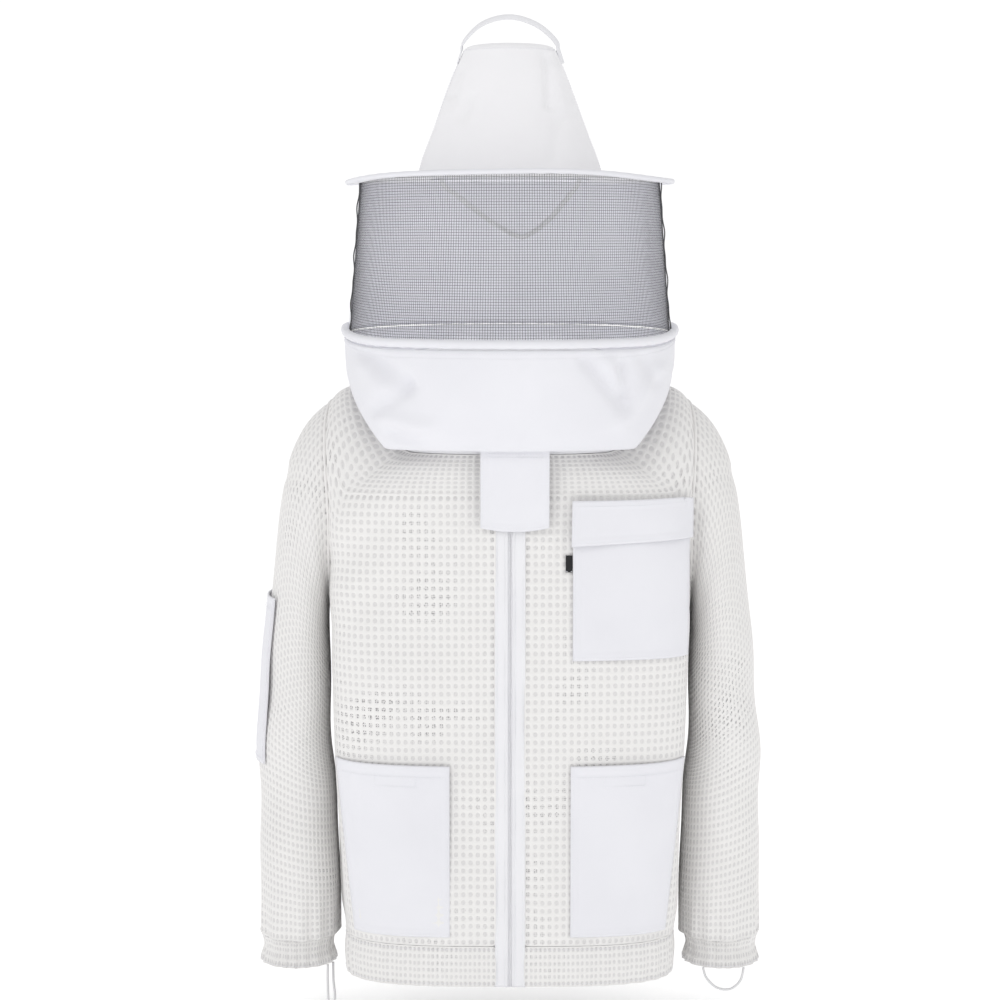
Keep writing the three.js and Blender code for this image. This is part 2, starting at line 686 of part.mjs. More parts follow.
for (const [name, turn] of [['right', rightSeam], ['left', leftSeam]]) {
  const area = { across: [turn - 0.0022, turn + 0.0022], along: [0.05, 0.99], cells: [1, 4] };
  add(hood, `veil_seam_${name}`, sheet(veil, area, seamGap, seamGap + 1), 'veil');
}

// Hat: brim with a bound edge, crown, sweatband and hanging loop
const brimEdge = brimRadius - 2 * bindingRadius - seamGap;
function brimDroop(p) {
  const radius = Math.hypot(p.x, p.y);
  const share = Math.max(0, (radius - crownBaseRadius) / (brimRadius - crownBaseRadius));
  const front = Math.max(0, -p.y / radius) ** 2 * 9;
  const back = Math.max(0, p.y / radius) ** 2 * 8;
  return new THREE.Vector3(p.x, p.y, p.z + (front + back - 6) * share);
}
const brim = ring([
  [headRadius, brimZ - brimThickness], [crownBaseRadius, brimZ - brimThickness],
  [mix(crownBaseRadius, brimEdge, 0.5), brimZ - brimThickness], [brimEdge, brimZ - brimThickness],
  [brimEdge, brimZ], [mix(crownBaseRadius, brimEdge, 0.5), brimZ],
  [crownBaseRadius, brimZ], [headRadius, brimZ],
], 36);
add(hood, 'hat_brim', bent(brim, brimDroop), 'cotton');
const bindingCentre = [brimEdge + seamGap + bindingRadius, brimZ - brimThickness / 2];
const binding = arcPoints(bindingCentre, bindingRadius, 0, 1.667 * Math.PI, 6);
add(hood, 'brim_binding', bent(ring(binding, 36), brimDroop), 'cotton');

const crownBaseZ = brimZ + seamGap;
function crownProfile(inset) {
  const rim = crownBaseRadius - inset;
  const top = crownTopRadius - inset;
  return new THREE.SplineCurve([
    new THREE.Vector2(rim, 0),
    new THREE.Vector2(mix(top, rim, 0.9), crownHeight * 0.13),
    new THREE.Vector2(mix(top, rim, 0.4), crownHeight * 0.61),
    new THREE.Vector2(top, crownHeight),
  ]).getPoints(4).map((p) => [p.x, p.y + crownBaseZ]);
}
add(hood, 'hat_crown', ring([...crownProfile(0), ...crownProfile(feltThickness).reverse()], 30), 'cotton');
const crownTopZ = crownBaseZ + crownHeight + seamGap;
const crownTop = new THREE.LatheGeometry([
  new THREE.Vector2(0, 0), new THREE.Vector2(crownTopRadius - 1, 0),
  new THREE.Vector2(crownTopRadius - 1, 2.6),
  new THREE.Vector2(crownTopRadius * 0.6, feltThickness + 4), new THREE.Vector2(0, feltThickness + 6),
], 24).rotateX(Math.PI / 2).translate(0, 0, crownTopZ);
add(hood, 'crown_top', crownTop, 'cotton');
const bandBottomZ = brimZ - 6;
const bandTopZ = brimZ + 26;
const band = [
  [headRadius - seamGap, bandBottomZ], [headRadius - seamGap, bandTopZ],
  [headRadius - 2, bandTopZ], [headRadius - 2, bandBottomZ],
];
add(hood, 'sweatband', ring(band, 36), 'cotton');

const loopSection = new THREE.Shape([
  new THREE.Vector2(-loopWidth / 2, -loopThickness / 2), new THREE.Vector2(loopWidth / 2, -loopThickness / 2),
  new THREE.Vector2(loopWidth / 2, loopThickness / 2), new THREE.Vector2(-loopWidth / 2, loopThickness / 2),
]);
const loopEdge = crownTopRadius + loopThickness / 2 + 2 * seamGap;
const loopSewn = 14;
const loopFoot = loopEdge + (loopSewn * (crownBaseRadius - crownTopRadius)) / crownHeight;
const loopPath = new THREE.CatmullRomCurve3([
  [-loopFoot, 0, crownTopZ - loopSewn], [-loopEdge, 0, crownTopZ + 1], [-loopEdge + 2, 0, crownTopZ + 10],
  [-34, 0, crownTopZ + 0.78 * loopHeight], [0, 0, crownTopZ + loopHeight],
  [34, 0, crownTopZ + 0.74 * loopHeight],
  [loopEdge - 2, 0, crownTopZ + 10], [loopEdge, 0, crownTopZ + 1], [loopFoot, 0, crownTopZ - loopSewn],
].map((p) => new THREE.Vector3(...p)));
const loopOptions = { steps: 20, bevelEnabled: false, extrudePath: loopPath };
add(hood, 'crown_loop', new THREE.ExtrudeGeometry(loopSection, loopOptions), 'tape');

add(hood, 'head_strap', cord([
  [-80, -88, 264.6], [-79, -88, 259], [-56, -82, 240], [-20, -70, 213], [10, -61, 197],
  [18, -60, 197], [46, -70, 217], [66, -82, 240], [80, -88, 259], [81, -88, 264.6],
], strapRadius, 15), 'tape');

// Neck tab, sewn under the skirt's fold, covers where the zips meet
function tabSurface(across, along) {
  const x = mix(tabRight, tabLeft, across);
  const bow = 5 * (1 - (2 * across - 1) ** 2);
  return new THREE.Vector3(x, mix(-tabTopDepth, -tabBottomDepth, along), tabTopZ - along * (tabLength + bow));
}
const tabArea = { across: [0, 1], along: [0, 1], cells: [8, 6] };
add(hood, 'neck_tab', sheet(tabSurface, tabArea, -tabThickness, 0), 'cotton');
const hookArea = { across: [0.06, 0.94], along: [0.56, 0.92], cells: [4, 2] };
add(hood, 'tab_hook_patch', sheet(tabSurface, hookArea, seamGap, seamGap + patchThickness), 'tape');

export default object;
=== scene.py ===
import math
import bmesh
import bpy
import numpy as np
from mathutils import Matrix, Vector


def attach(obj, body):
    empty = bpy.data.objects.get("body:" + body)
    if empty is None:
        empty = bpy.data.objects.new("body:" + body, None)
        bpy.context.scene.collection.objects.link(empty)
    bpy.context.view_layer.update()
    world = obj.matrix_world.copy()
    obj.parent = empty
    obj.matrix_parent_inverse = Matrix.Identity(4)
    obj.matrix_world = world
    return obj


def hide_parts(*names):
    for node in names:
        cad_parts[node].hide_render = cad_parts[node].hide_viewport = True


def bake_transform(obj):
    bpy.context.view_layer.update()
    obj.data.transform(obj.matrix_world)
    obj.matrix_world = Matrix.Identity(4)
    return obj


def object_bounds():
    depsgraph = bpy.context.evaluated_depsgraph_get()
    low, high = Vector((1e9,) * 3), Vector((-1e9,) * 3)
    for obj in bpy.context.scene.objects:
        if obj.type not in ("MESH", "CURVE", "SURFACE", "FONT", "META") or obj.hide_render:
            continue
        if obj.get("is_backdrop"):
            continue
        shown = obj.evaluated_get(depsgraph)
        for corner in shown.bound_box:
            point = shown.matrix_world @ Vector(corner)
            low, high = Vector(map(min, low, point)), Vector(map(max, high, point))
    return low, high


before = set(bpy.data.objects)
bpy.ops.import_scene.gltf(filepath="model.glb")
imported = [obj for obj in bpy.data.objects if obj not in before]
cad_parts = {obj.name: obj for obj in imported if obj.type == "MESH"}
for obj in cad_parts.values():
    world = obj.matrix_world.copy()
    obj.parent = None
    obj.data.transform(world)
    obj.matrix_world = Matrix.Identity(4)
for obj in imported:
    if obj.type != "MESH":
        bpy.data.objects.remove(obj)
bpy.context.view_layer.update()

# Ventilated beekeeping jacket with an attached round veil hat.
# Shapes are worked out in millimetres and turned into metres when a mesh is made.
scene = bpy.context.scene
metre = 0.001

# Camera
viewPoint = {"lens": 88.29, "sensor": 36, "place": (-0.012, -3.0, 0.1926), "down": 6.05}
cameraData = bpy.data.cameras.new("camera")
cameraData.lens = viewPoint["lens"]
cameraData.sensor_width = viewPoint["sensor"]
camera = bpy.data.objects.new("camera", cameraData)
camera.location = viewPoint["place"]
camera.rotation_euler = (math.radians(90 - viewPoint["down"]), 0, 0)
scene.collection.objects.link(camera)
scene.camera = camera


# Shader groups shared by the finishes
def addNode(tree, kind, inputs=None, **settings):
    node = tree.nodes.new(kind)
    for key, value in settings.items():
        setattr(node, key, value)
    for key, value in (inputs or {}).items():
        if isinstance(value, bpy.types.NodeSocket):
            tree.links.new(value, node.inputs[key])
        else:
            node.inputs[key].default_value = value
    return node


def maths(tree, operation, first, second=0.0, third=0.0):
    inputs = {0: first, 1: second, 2: third}
    return addNode(tree, "ShaderNodeMath", inputs, operation=operation).outputs[0]


def newGroup(name, kind, inputs, outputs):
    tree = bpy.data.node_groups.new(name, kind)
    for label, socket, value in inputs:
        made = tree.interface.new_socket(label, in_out="INPUT", socket_type=socket)
        if value is not None:
            made.default_value = value
    for label, socket in outputs:
        tree.interface.new_socket(label, in_out="OUTPUT", socket_type=socket)
    return tree, tree.nodes.new("NodeGroupInput"), tree.nodes.new("NodeGroupOutput")


# Over-and-under threads: Slant leans the ribs as a twill does, 0 gives a plain weave
weaveGroup, weaveIn, weaveOut = newGroup("clothWeave", "ShaderNodeTree", [
    ("Vector", "NodeSocketVector", None),
    ("Pitch", "NodeSocketFloat", 0.001),
    ("Slant", "NodeSocketFloat", 0.0),
], [("Height", "NodeSocketFloat")])
turnsPerPitch = maths(weaveGroup, "DIVIDE", 2 * math.pi, weaveIn.outputs["Pitch"])
apart = addNode(weaveGroup, "ShaderNodeSeparateXYZ", {0: weaveIn.outputs["Vector"]})
acrossThreads = maths(weaveGroup, "MULTIPLY", apart.outputs["X"], turnsPerPitch)
alongThreads = maths(weaveGroup, "MULTIPLY", apart.outputs["Y"], turnsPerPitch)
ribs = maths(
    weaveGroup, "SINE",
    maths(weaveGroup, "MULTIPLY_ADD", alongThreads, weaveIn.outputs["Slant"], acrossThreads),
)
picks = maths(weaveGroup, "SINE", alongThreads)
weaveHeight = maths(
    weaveGroup, "MULTIPLY_ADD", maths(weaveGroup, "MULTIPLY", ribs, maths(weaveGroup, "ADD", picks, 2.0)),
    0.16, 0.5,
)
weaveGroup.links.new(weaveHeight, weaveOut.inputs["Height"])

# Slow and fine changes of tone, as washing and handling leave on cloth
toneGroup, toneIn, toneOut = newGroup("clothTone", "ShaderNodeTree", [
    ("Vector", "NodeSocketVector", None),
    ("Scale", "NodeSocketFloat", 9.0),
    ("Speckle", "NodeSocketFloat", 0.25),
], [("Factor", "NodeSocketFloat")])
slow = addNode(toneGroup, "ShaderNodeTexNoise", {
    "Vector": toneIn.outputs["Vector"], "Scale": toneIn.outputs["Scale"], "Detail": 4.0, "Roughness": 0.55,
})
fine = addNode(
    toneGroup, "ShaderNodeTexNoise", {"Vector": toneIn.outputs["Vector"], "Scale": 900.0, "Detail": 2.0},
)
speckled = maths(
    toneGroup, "MULTIPLY", maths(toneGroup, "SUBTRACT", fine.outputs["Fac"], 0.5), toneIn.outputs["Speckle"],
)
tone = addNode(toneGroup, "ShaderNodeClamp", {0: maths(toneGroup, "ADD", slow.outputs["Fac"], speckled)})
toneGroup.links.new(tone.outputs[0], toneOut.inputs["Factor"])


# One material from a look: two tones, a weave and how it shines
def clothFinish(name, look):
    material = bpy.data.materials.new(name)
    material.use_nodes = True
    tree = material.node_tree
    shader = tree.nodes["Principled BSDF"]
    shader.inputs["Sheen Weight"].default_value = look.get("sheen", 0.0)
    shader.inputs["Sheen Roughness"].default_value = 0.5
    shader.inputs["Metallic"].default_value = look.get("metal", 0.0)
    shader.inputs["Specular IOR Level"].default_value = look.get("gloss", 0.3)
    place = addNode(tree, "ShaderNodeTexCoord").outputs["Object"]
    threads = place
    if look.get("uv", True):
        threads = addNode(tree, "ShaderNodeUVMap", uv_map="cloth").outputs["UV"]
    weave = addNode(tree, "ShaderNodeGroup", node_tree=weaveGroup)
    weave.inputs["Pitch"].default_value = look["pitch"] * metre
    weave.inputs["Slant"].default_value = look.get("slant", 0.0)
    tree.links.new(threads, weave.inputs["Vector"])
    tones = addNode(tree, "ShaderNodeGroup", node_tree=toneGroup)
    tones.inputs["Scale"].default_value = look.get("scale", 9.0)
    tones.inputs["Speckle"].default_value = look.get("speckle", 0.25)
    tree.links.new(place, tones.inputs["Vector"])
    factor = maths(
        tree, "MULTIPLY_ADD", maths(tree, "SUBTRACT", weave.outputs["Height"], 0.5),
        look.get("weaveTone", 0.5), tones.outputs["Factor"],
    )
    blend = addNode(tree, "ShaderNodeMix", {"Factor": factor}, data_type="RGBA")
    blend.inputs["A"].default_value = (*look["dark"], 1)
    blend.inputs["B"].default_value = (*look["light"], 1)
    colour = blend.outputs["Result"]
    # paints shade into the gaps of the inner mesh
    if "gapShade" in look:
        colour = addShadedGaps(tree, place, threads, colour, look["gapShade"])
    tree.links.new(colour, shader.inputs["Base Color"])
    rough = look["rough"]
    roughness = addNode(
        tree, "ShaderNodeMapRange",
        {"Value": tones.outputs["Factor"], "To Min": rough[0], "To Max": rough[1]},
    )
    tree.links.new(roughness.outputs["Result"], shader.inputs["Roughness"])
    bump = addNode(
        tree, "ShaderNodeBump", {"Height": weave.outputs["Height"], "Strength": look.get("bump", 0.5)},
    )
    bump.inputs["Distance"].default_value = look.get("relief", 0.15) * metre
    tree.links.new(bump.outputs["Normal"], shader.inputs["Normal"])
    return material


# Painted shade in the small gaps of the inner mesh: their dark colour stands for the shade seen through them,
# which shows most where the layers stand apart
def addShadedGaps(tree, place, threads, colour, gapShade):
    apart = addNode(tree, "ShaderNodeTexVoronoi", {"Vector": threads, "Scale": 1 / (gapShade["pitch"] * metre)})
    apart.inputs["Randomness"].default_value = 0.35
    hole = maths(tree, "LESS_THAN", apart.outputs["Distance"], gapShade["size"])
    patches = addNode(
        tree, "ShaderNodeTexNoise",
        {"Vector": place, "Scale": gapShade["scale"], "Detail": 3.0, "Roughness": 0.6},
    )
    share = addNode(tree, "ShaderNodeMapRange", {
        "Value": patches.outputs["Fac"], "From Min": gapShade["from"], "From Max": gapShade["to"],
        "To Min": gapShade["least"], "To Max": 1.0,
    })
    mixed = addNode(
        tree, "ShaderNodeMix", {"Factor": maths(tree, "MULTIPLY", hole, share.outputs["Result"])},
        data_type="RGBA",
    )
    mixed.inputs["B"].default_value = (*gapShade["colour"], 1)
    tree.links.new(colour, mixed.inputs["A"])
    return mixed.outputs["Result"]


finishes = {
    "netYarn": {
        "light": (0.88, 0.87, 0.86), "dark": (0.80, 0.79, 0.78), "rough": (0.7, 0.9), "pitch": 0.7,
        "uv": False, "relief": 0.12, "sheen": 0.15,
    },
    "netLining": {
        "light": (0.80, 0.79, 0.785), "dark": (0.66, 0.65, 0.65), "rough": (0.8, 0.95), "pitch": 1.2,
        "relief": 0.2, "weaveTone": 0.9,
        # the lining's greyer tones are partly its own and partly painted shade of the net's holes; the gap
        # colour is painted shade
        "gapShade": {
            "pitch": 2.4, "size": 0.36, "scale": 9.0, "from": 0.52, "to": 0.68, "least": 0.06,
            "colour": (0.20, 0.195, 0.20),
        },
    },
    "cottonTwill": {
        "light": (0.845, 0.845, 0.882), "dark": (0.775, 0.775, 0.817), "rough": (0.75, 0.92), "pitch": 0.9,
        "slant": 1.0, "relief": 0.1, "sheen": 0.25, "weaveTone": 0.35,
    },
    # painted light: the jacket's twill made lighter for the hat's brim and crown, which the lamps leave
    # darker than the jacket
    "hatTwillPaintedLight": {
        "light": (0.935, 0.93, 0.95), "dark": (0.87, 0.865, 0.885), "rough": (0.8, 0.95), "pitch": 0.9,
        "slant": 1.0, "relief": 0.1, "sheen": 0.3, "weaveTone": 0.35,
    },
    "zipTape": {
        "light": (0.88, 0.88, 0.90), "dark": (0.82, 0.82, 0.85), "rough": (0.55, 0.75), "pitch": 1.1,
        "slant": 0.0, "relief": 0.25, "weaveTone": 0.5,
    },
    "zipCoil": {
        "light": (0.90, 0.90, 0.92), "dark": (0.84, 0.84, 0.87), "rough": (0.3, 0.45), "pitch": 1.5,
        "uv": False, "relief": 0.05, "gloss": 0.5,
    },
    "veilYarn": {
        "light": (0.11, 0.11, 0.118), "dark": (0.06, 0.06, 0.065), "rough": (0.45, 0.65), "pitch": 0.6,
        "uv": False, "relief": 0.05,
    },
    "ribbedElastic": {
        "light": (0.84, 0.84, 0.85), "dark": (0.72, 0.72, 0.73), "rough": (0.65, 0.85), "pitch": 1.6,
        "relief": 0.4, "weaveTone": 0.8,
    },
    "wireSteel": {
        "light": (0.62, 0.62, 0.63), "dark": (0.48, 0.48, 0.5), "rough": (0.3, 0.5), "pitch": 3.0,
        "uv": False, "metal": 1.0, "relief": 0.02,
    },
    "pullPlastic": {
        "light": (0.90, 0.90, 0.92), "dark": (0.82, 0.82, 0.84), "rough": (0.3, 0.5), "pitch": 2.0,
        "uv": False, "gloss": 0.5, "relief": 0.03,
    },
    "tagBlack": {
        "light": (0.022, 0.022, 0.024), "dark": (0.010, 0.010, 0.012), "rough": (0.5, 0.7), "pitch": 0.6,
        "relief": 0.15,
    },
    "sewingThread": {
        "light": (0.90, 0.90, 0.93), "dark": (0.80, 0.80, 0.84), "rough": (0.5, 0.7), "pitch": 0.5,
        "uv": False, "relief": 0.05,
    },
    "touchFastener": {
        "light": (0.85, 0.85, 0.87), "dark": (0.66, 0.66, 0.69), "rough": (0.7, 0.9), "pitch": 0.8,
        "relief": 0.5, "speckle": 0.9, "weaveTone": 0.9,
    },
}
materials = {name: clothFinish(name, look) for name, look in finishes.items()}
print("finishes made:", len(materials))


# A mesh from points in millimetres; corners are the cloth coordinates of each face corner
def makeMesh(name, points, faces, finish, corners=None):
    mesh = bpy.data.meshes.new(name)
    mesh.from_pydata((np.asarray(points) * metre).tolist(), [], [tuple(int(k) for k in f) for f in faces])
    if corners is not None:
        layer = mesh.uv_layers.new(name="cloth")
        layer.data.foreach_set("uv", (np.concatenate(corners) * metre).astype(np.float32).ravel())
    mesh.materials.append(materials[finish])
    mesh.validate()
    mesh.polygons.foreach_set("use_smooth", [True] * len(mesh.polygons))
    piece = bpy.data.objects.new(name, mesh)
    scene.collection.objects.link(piece)
    return piece


def between(a, b, share):
    return a + (b - a) * share


# A smooth curve through rows of points: share counts rows
def curveThrough(rowPoints, along):
    last = len(rowPoints) - 1
    along = np.clip(along, 0, last)
    start = np.minimum(along.astype(int), last - 1)
    t = (along - start)[:, None]
    padded = np.concatenate(
        [2 * rowPoints[:1] - rowPoints[1:2], rowPoints, 2 * rowPoints[-1:] - rowPoints[-2:-1]]
    )
    index = np.arange(len(along))
    p0, p1, p2, p3 = (padded[start + k, index] for k in range(4))
    d0, d1, d2 = (
        np.maximum(np.sqrt(np.linalg.norm(b - a, axis=1)), 1e-4)[:, None] for a,
        b in ((p0, p1), (p1, p2), (p2, p3))
    )
    m1 = ((p1 - p0) / d0 - (p2 - p0) / (d0 + d1) + (p2 - p1) / d1) * d1
    m2 = ((p2 - p1) / d1 - (p3 - p1) / (d1 + d2) + (p3 - p2) / d2) * d1
    return p1 + m1 * t + (-3 * p1 + 3 * p2 - 2 * m1 - m2) * t**2 + (2 * p1 - 2 * p2 + m1 + m2) * t**3


# One loop round the body, with its height eased from side to front and to back
def loopPoint(row, turn):
    angle = turn * 2 * math.pi
    c, s = np.cos(angle), np.sin(angle)
    middle = row.get("middle", -15)
    depth = np.where(s < 0, middle + row["front"], row["back"] - middle)
    power = row.get("squareness", 2)
    radius = (np.abs(c / row["half"]) ** power + np.abs(s / depth) ** power) ** (-1 / power)
    deep = s * radius / depth
    share = np.minimum(1, np.where(s < 0, -deep / 0.74, deep / 0.9))
    eased = share ** row["rise"] if "rise" in row else np.sin(share * math.pi / 2)
    far = np.where(s < 0, row.get("frontZ", row["z"]), row.get("backZ", row["z"]))
    return np.stack([radius * c, middle + radius * s, between(row["z"], far, eased)], axis=-1)


def lofted(rows, pointOf=loopPoint):
    def place(turn, along):
        turn, along = np.broadcast_arrays(np.asarray(turn, float), np.asarray(along, float))
        unique, back = np.unique(turn.ravel(), return_inverse=True)
        rowPoints = np.array([pointOf(row, unique) for row in rows])[:, back.ravel()]
        return curveThrough(rowPoints, along.ravel()).reshape(turn.shape + (3,))
    return place


def normalsOf(surface, turn, along, step=1e-3):
    sideways = surface(turn + step, along) - surface(turn - step, along)
    upward = surface(turn, along + step) - surface(turn, along - step)
    normal = np.cross(sideways, upward)
    return normal / np.maximum(np.linalg.norm(normal, axis=-1, keepdims=True), 1e-9)


def lengths(points):
    return np.concatenate([[0], np.cumsum(np.linalg.norm(np.diff(points, axis=0), axis=1))])


def evenSteps(line, start, end, size):
    fine = np.linspace(start, end, 500)
    run = lengths(line(fine))
    count = max(1, round(run[-1] / size))
    return np.interp(np.linspace(0, run[-1], count + 1), run, fine)


# A grid of cloth on a surface. drape(points, turn, along) moves it along its normals.
def clothGrid(surface, turns, alongs, loop=False, drape=None, step=1e-3):
    turn, along = np.meshgrid(turns, alongs, indexing="ij")
    points, normals = surface(turn, along), normalsOf(surface, turn, along, step)
    across = lengths(points[:, len(alongs) // 2])
    down = lengths(points[len(turns) // 2])
    if drape is not None:
        points = points + normals * drape(points, turn, along)[..., None]
    n, m = turn.shape
    columns = np.arange(n) % (n - 1) if loop else np.arange(n)
    i, j = (k.ravel() for k in np.meshgrid(np.arange(n - 1), np.arange(m - 1), indexing="ij"))
    around = [(i, j), (i + 1, j), (i + 1, j + 1), (i, j + 1)]
    keep = n - 1 if loop else n
    return {
        "points": points[:keep].reshape(-1, 3), "normals": normals[:keep].reshape(-1, 3),
        "turn": turn[:keep].ravel(), "along": along[:keep].ravel(),
        "faces": np.stack([columns[a] * m + b for a, b in around], axis=1),
        "corners": np.stack([np.stack([across[a], down[b]], axis=1) for a, b in around], axis=1),
        "across": across, "down": down,
    }


# A closed sheet of cloth: the grid at two offsets, with a rim round every open edge
def shell(name, grid, low, high, finish):
    points, normals, faces, corners = grid["points"], grid["normals"], grid["faces"], grid["corners"]
    low, high = (np.broadcast_to(np.asarray(v, float), (len(points),))[:, None] for v in (low, high))
    count = len(points)
    every = [f for f in faces] + [f[::-1] + count for f in faces]
    everyCorner = [c for c in corners] + [c[::-1] for c in corners]
    edges = {}
    for f, c in zip(faces, corners):
        for k in range(4):
            a, b = int(f[k]), int(f[(k + 1) % 4])
            if (b, a) in edges:
                del edges[(b, a)]
            else:
                edges[(a, b)] = (c[k], c[(k + 1) % 4])
    for (a, b), (ca, cb) in edges.items():
        every.append((b, a, a + count, b + count))
        everyCorner.append(np.array([cb, ca, ca, cb]))
    return makeMesh(
        name, np.concatenate([points + normals * high, points + normals * low]), every, finish, everyCorner,
    )


# A tube of a given radius along a line of points
def tubeAlong(name, line, radius, finish, sides=8, loop=False):
    line = np.asarray(line, float)
    count = len(line)
    if loop:
        tangent = np.roll(line, -1, axis=0) - np.roll(line, 1, axis=0)
    else:
        tangent = np.gradient(line, axis=0)
    tangent /= np.linalg.norm(tangent, axis=1, keepdims=True)
    side = np.cross(tangent[0], [0.0, 0.0, 1.0] if abs(tangent[0][2]) < 0.9 else [0.0, 1.0, 0.0])
    sidesList = []
    for t in tangent:
        side = side - t * (side @ t)
        side = side / np.linalg.norm(side)
        sidesList.append(side)
    first = np.array(sidesList)
    second = np.cross(tangent, first)
    angle = np.linspace(0, 2 * math.pi, sides, endpoint=False)
    radius = np.broadcast_to(np.asarray(radius, float), (count,))[:, None, None]
    points = line[:, None] + radius * (
        first[:, None] * np.cos(angle)[None, :, None] + second[:, None] * np.sin(angle)[None, :, None]
    )
    run = lengths(np.concatenate([line, line[:1]])) if loop else lengths(line)
    spans = count if loop else count - 1
    faces, corners = [], []
    edge = 2 * math.pi * float(np.mean(radius)) / sides
    for i in range(spans):
        for k in range(sides):
            quad = [(i, k), (i, k + 1), (i + 1, k + 1), (i + 1, k)]
            faces.append([(a % count) * sides + b % sides for a, b in quad])
            corners.append(np.array([[b * edge, run[a]] for a, b in quad]))
    points = points.reshape(-1, 3)
    if not loop:
        for end, ring in ((0, range(sides)), (count - 1, range(sides - 1, -1, -1))):
            faces.append([end * sides + k for k in ring][::-1])
            corners.append(np.array([[k * edge, run[min(end, spans)]] for k in ring]))
    piece = makeMesh(name, points, faces, finish, corners)
    turnOutward(piece)
    return piece


def turnOutward(piece, weld=0.0):
    work = bmesh.new()
    work.from_mesh(piece.data)
    if weld:
        bmesh.ops.remove_doubles(work, verts=work.verts, dist=weld)
    bmesh.ops.recalc_face_normals(work, faces=work.faces)
    work.to_mesh(piece.data)
    work.free()


# A smooth line through route points, evenly filled
def smoothLine(route, fill=12):
    route = np.asarray(route, float)
    along = np.linspace(0, len(route) - 1, (len(route) - 1) * fill + 1)
    return curveThrough(np.repeat(route[:, None], len(along), axis=1), along)


# A flat strap: width runs along one direction all the way
def strapAlong(name, line, widthWay, width, thickness, finish):
    line = np.asarray(line, float)
    tangent = np.gradient(line, axis=0)
    tangent /= np.linalg.norm(tangent, axis=1, keepdims=True)
    wide = np.broadcast_to(np.asarray(widthWay, float), line.shape)
    wide = wide - tangent * np.sum(wide * tangent, axis=1, keepdims=True)
    wide /= np.linalg.norm(wide, axis=1, keepdims=True)
    out = np.cross(wide, tangent)
    section = [
        (-0.5, -0.3), (-0.42, -0.5), (0.42, -0.5), (0.5, -0.3), (0.5, 0.3), (0.42, 0.5), (-0.42, 0.5),
        (-0.5, 0.3),
    ]
    points = np.array(
        [[p + w * a * width + o * b * thickness for a, b in section] for p, w, o in zip(line, wide, out)]
    )
    run = lengths(line)
    faces, corners = [], []
    for i in range(len(line) - 1):
        for k in range(8):
            quad = [(i, k), (i, k + 1), (i + 1, k + 1), (i + 1, k)]
            faces.append([a * 8 + b % 8 for a, b in quad])
            corners.append(np.array([[section[b % 8][0] * width, run[a]] for a, b in quad]))
    for end in (0, len(line) - 1):
        faces.append([end * 8 + k for k in range(8)])
        corners.append(np.array([[section[k][0] * width, run[end]] for k in range(8)]))
    piece = makeMesh(name, points.reshape(-1, 3), faces, finish, corners)
    turnOutward(piece)
    return piece


# Puts a finished piece on its body, in place of its CAD nodes
def settle(piece, body, slot, *nodes):
    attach(piece, body)
    if nodes:
        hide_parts(*nodes)
    return piece


# Cords: the routes are the CAD model's own
def cordPiece(name, route, radius, finish, body, slot, node):
    line = smoothLine(route)
    piece = tubeAlong(name, line, radius, finish, sides=10)
    settle(piece, body, slot, node)
    run = lengths(line)
    return piece


headStrap = {
    "radius": 3.0,
    "route": [
        (-80, -88, 264.6), (-79, -88, 259), (-56, -82, 240), (-20, -70, 213), (10, -61, 197), (18, -60, 197),
        (46, -70, 217), (66, -82, 240), (80, -88, 259), (81, -88, 264.6),
    ],
}
thumbLoop = {
    "radius": 1.6, "end": -702.5,
    "left": [
        (239, -42, 0), (243, -45, -12), (256, -48, -24), (272, -48, -26), (285, -46, -16), (290, -41, 0),
    ],
    "right": [
        (-226, -29, 0), (-226, -33, -22), (-224, -38, -46), (-220, -40, -50), (-217, -38, -40),
        (-219, -31, -20), (-220, -19, 0),
    ],
}
cordPiece(
    "headStrap", headStrap["route"], headStrap["radius"], "zipTape", "hood", "tape", "head_strap",
)
for side in ("left", "right"):
    route = [(x, y, z + thumbLoop["end"]) for x, y, z in thumbLoop[side]]
    cordPiece(
        f"thumbLoop{side.title()}", route, thumbLoop["radius"], "ribbedElastic", f"{side}_sleeve",
        "elastic", f"thumb_loop_{side}",
    )
print("cords laid")

# Jacket body, from the waistband seam up to the neck
frontDepth = 132
hemZ = -700
armhole = {"middleZ": -122, "halfHeight": 119, "halfDepth": 80, "from": 150}
bodyRows = [
    {"z": -650, "half": 203, "front": 132, "back": 116, "squareness": 3.4},
    {"z": -527.9, "half": 209.4, "front": 132, "back": 121.6, "squareness": 4},
    {"z": -303, "half": 217, "front": 132, "back": 124, "squareness": 5},
    {"z": -159.7, "half": 219, "front": 132, "back": 120, "squareness": 5},
    {
        "z": -5, "frontZ": -105, "backZ": -80, "half": 219, "front": 132, "back": 112, "squareness": 4,
        "rise": 2.4,
    },
    {
        "z": 16, "frontZ": -78, "backZ": -20, "half": 194.52, "front": 132, "back": 106, "squareness": 2.8,
        "rise": 1.8,
    },
    {"z": 14, "frontZ": -58, "backZ": 40, "half": 147, "front": 132, "back": 102, "squareness": 2.4},
]
body = lofted(bodyRows)
net = {"width": 8.6, "height": 9.8, "hole": 0.58, "sink": 1.25, "lining": (-3.0, -1.0)}
frontReach = frontDepth - 15  # from the middle of the body to its front
zipTurn = math.atan(17 / frontReach) / (2 * math.pi)
shoulderRow, neckRow = 4, 6


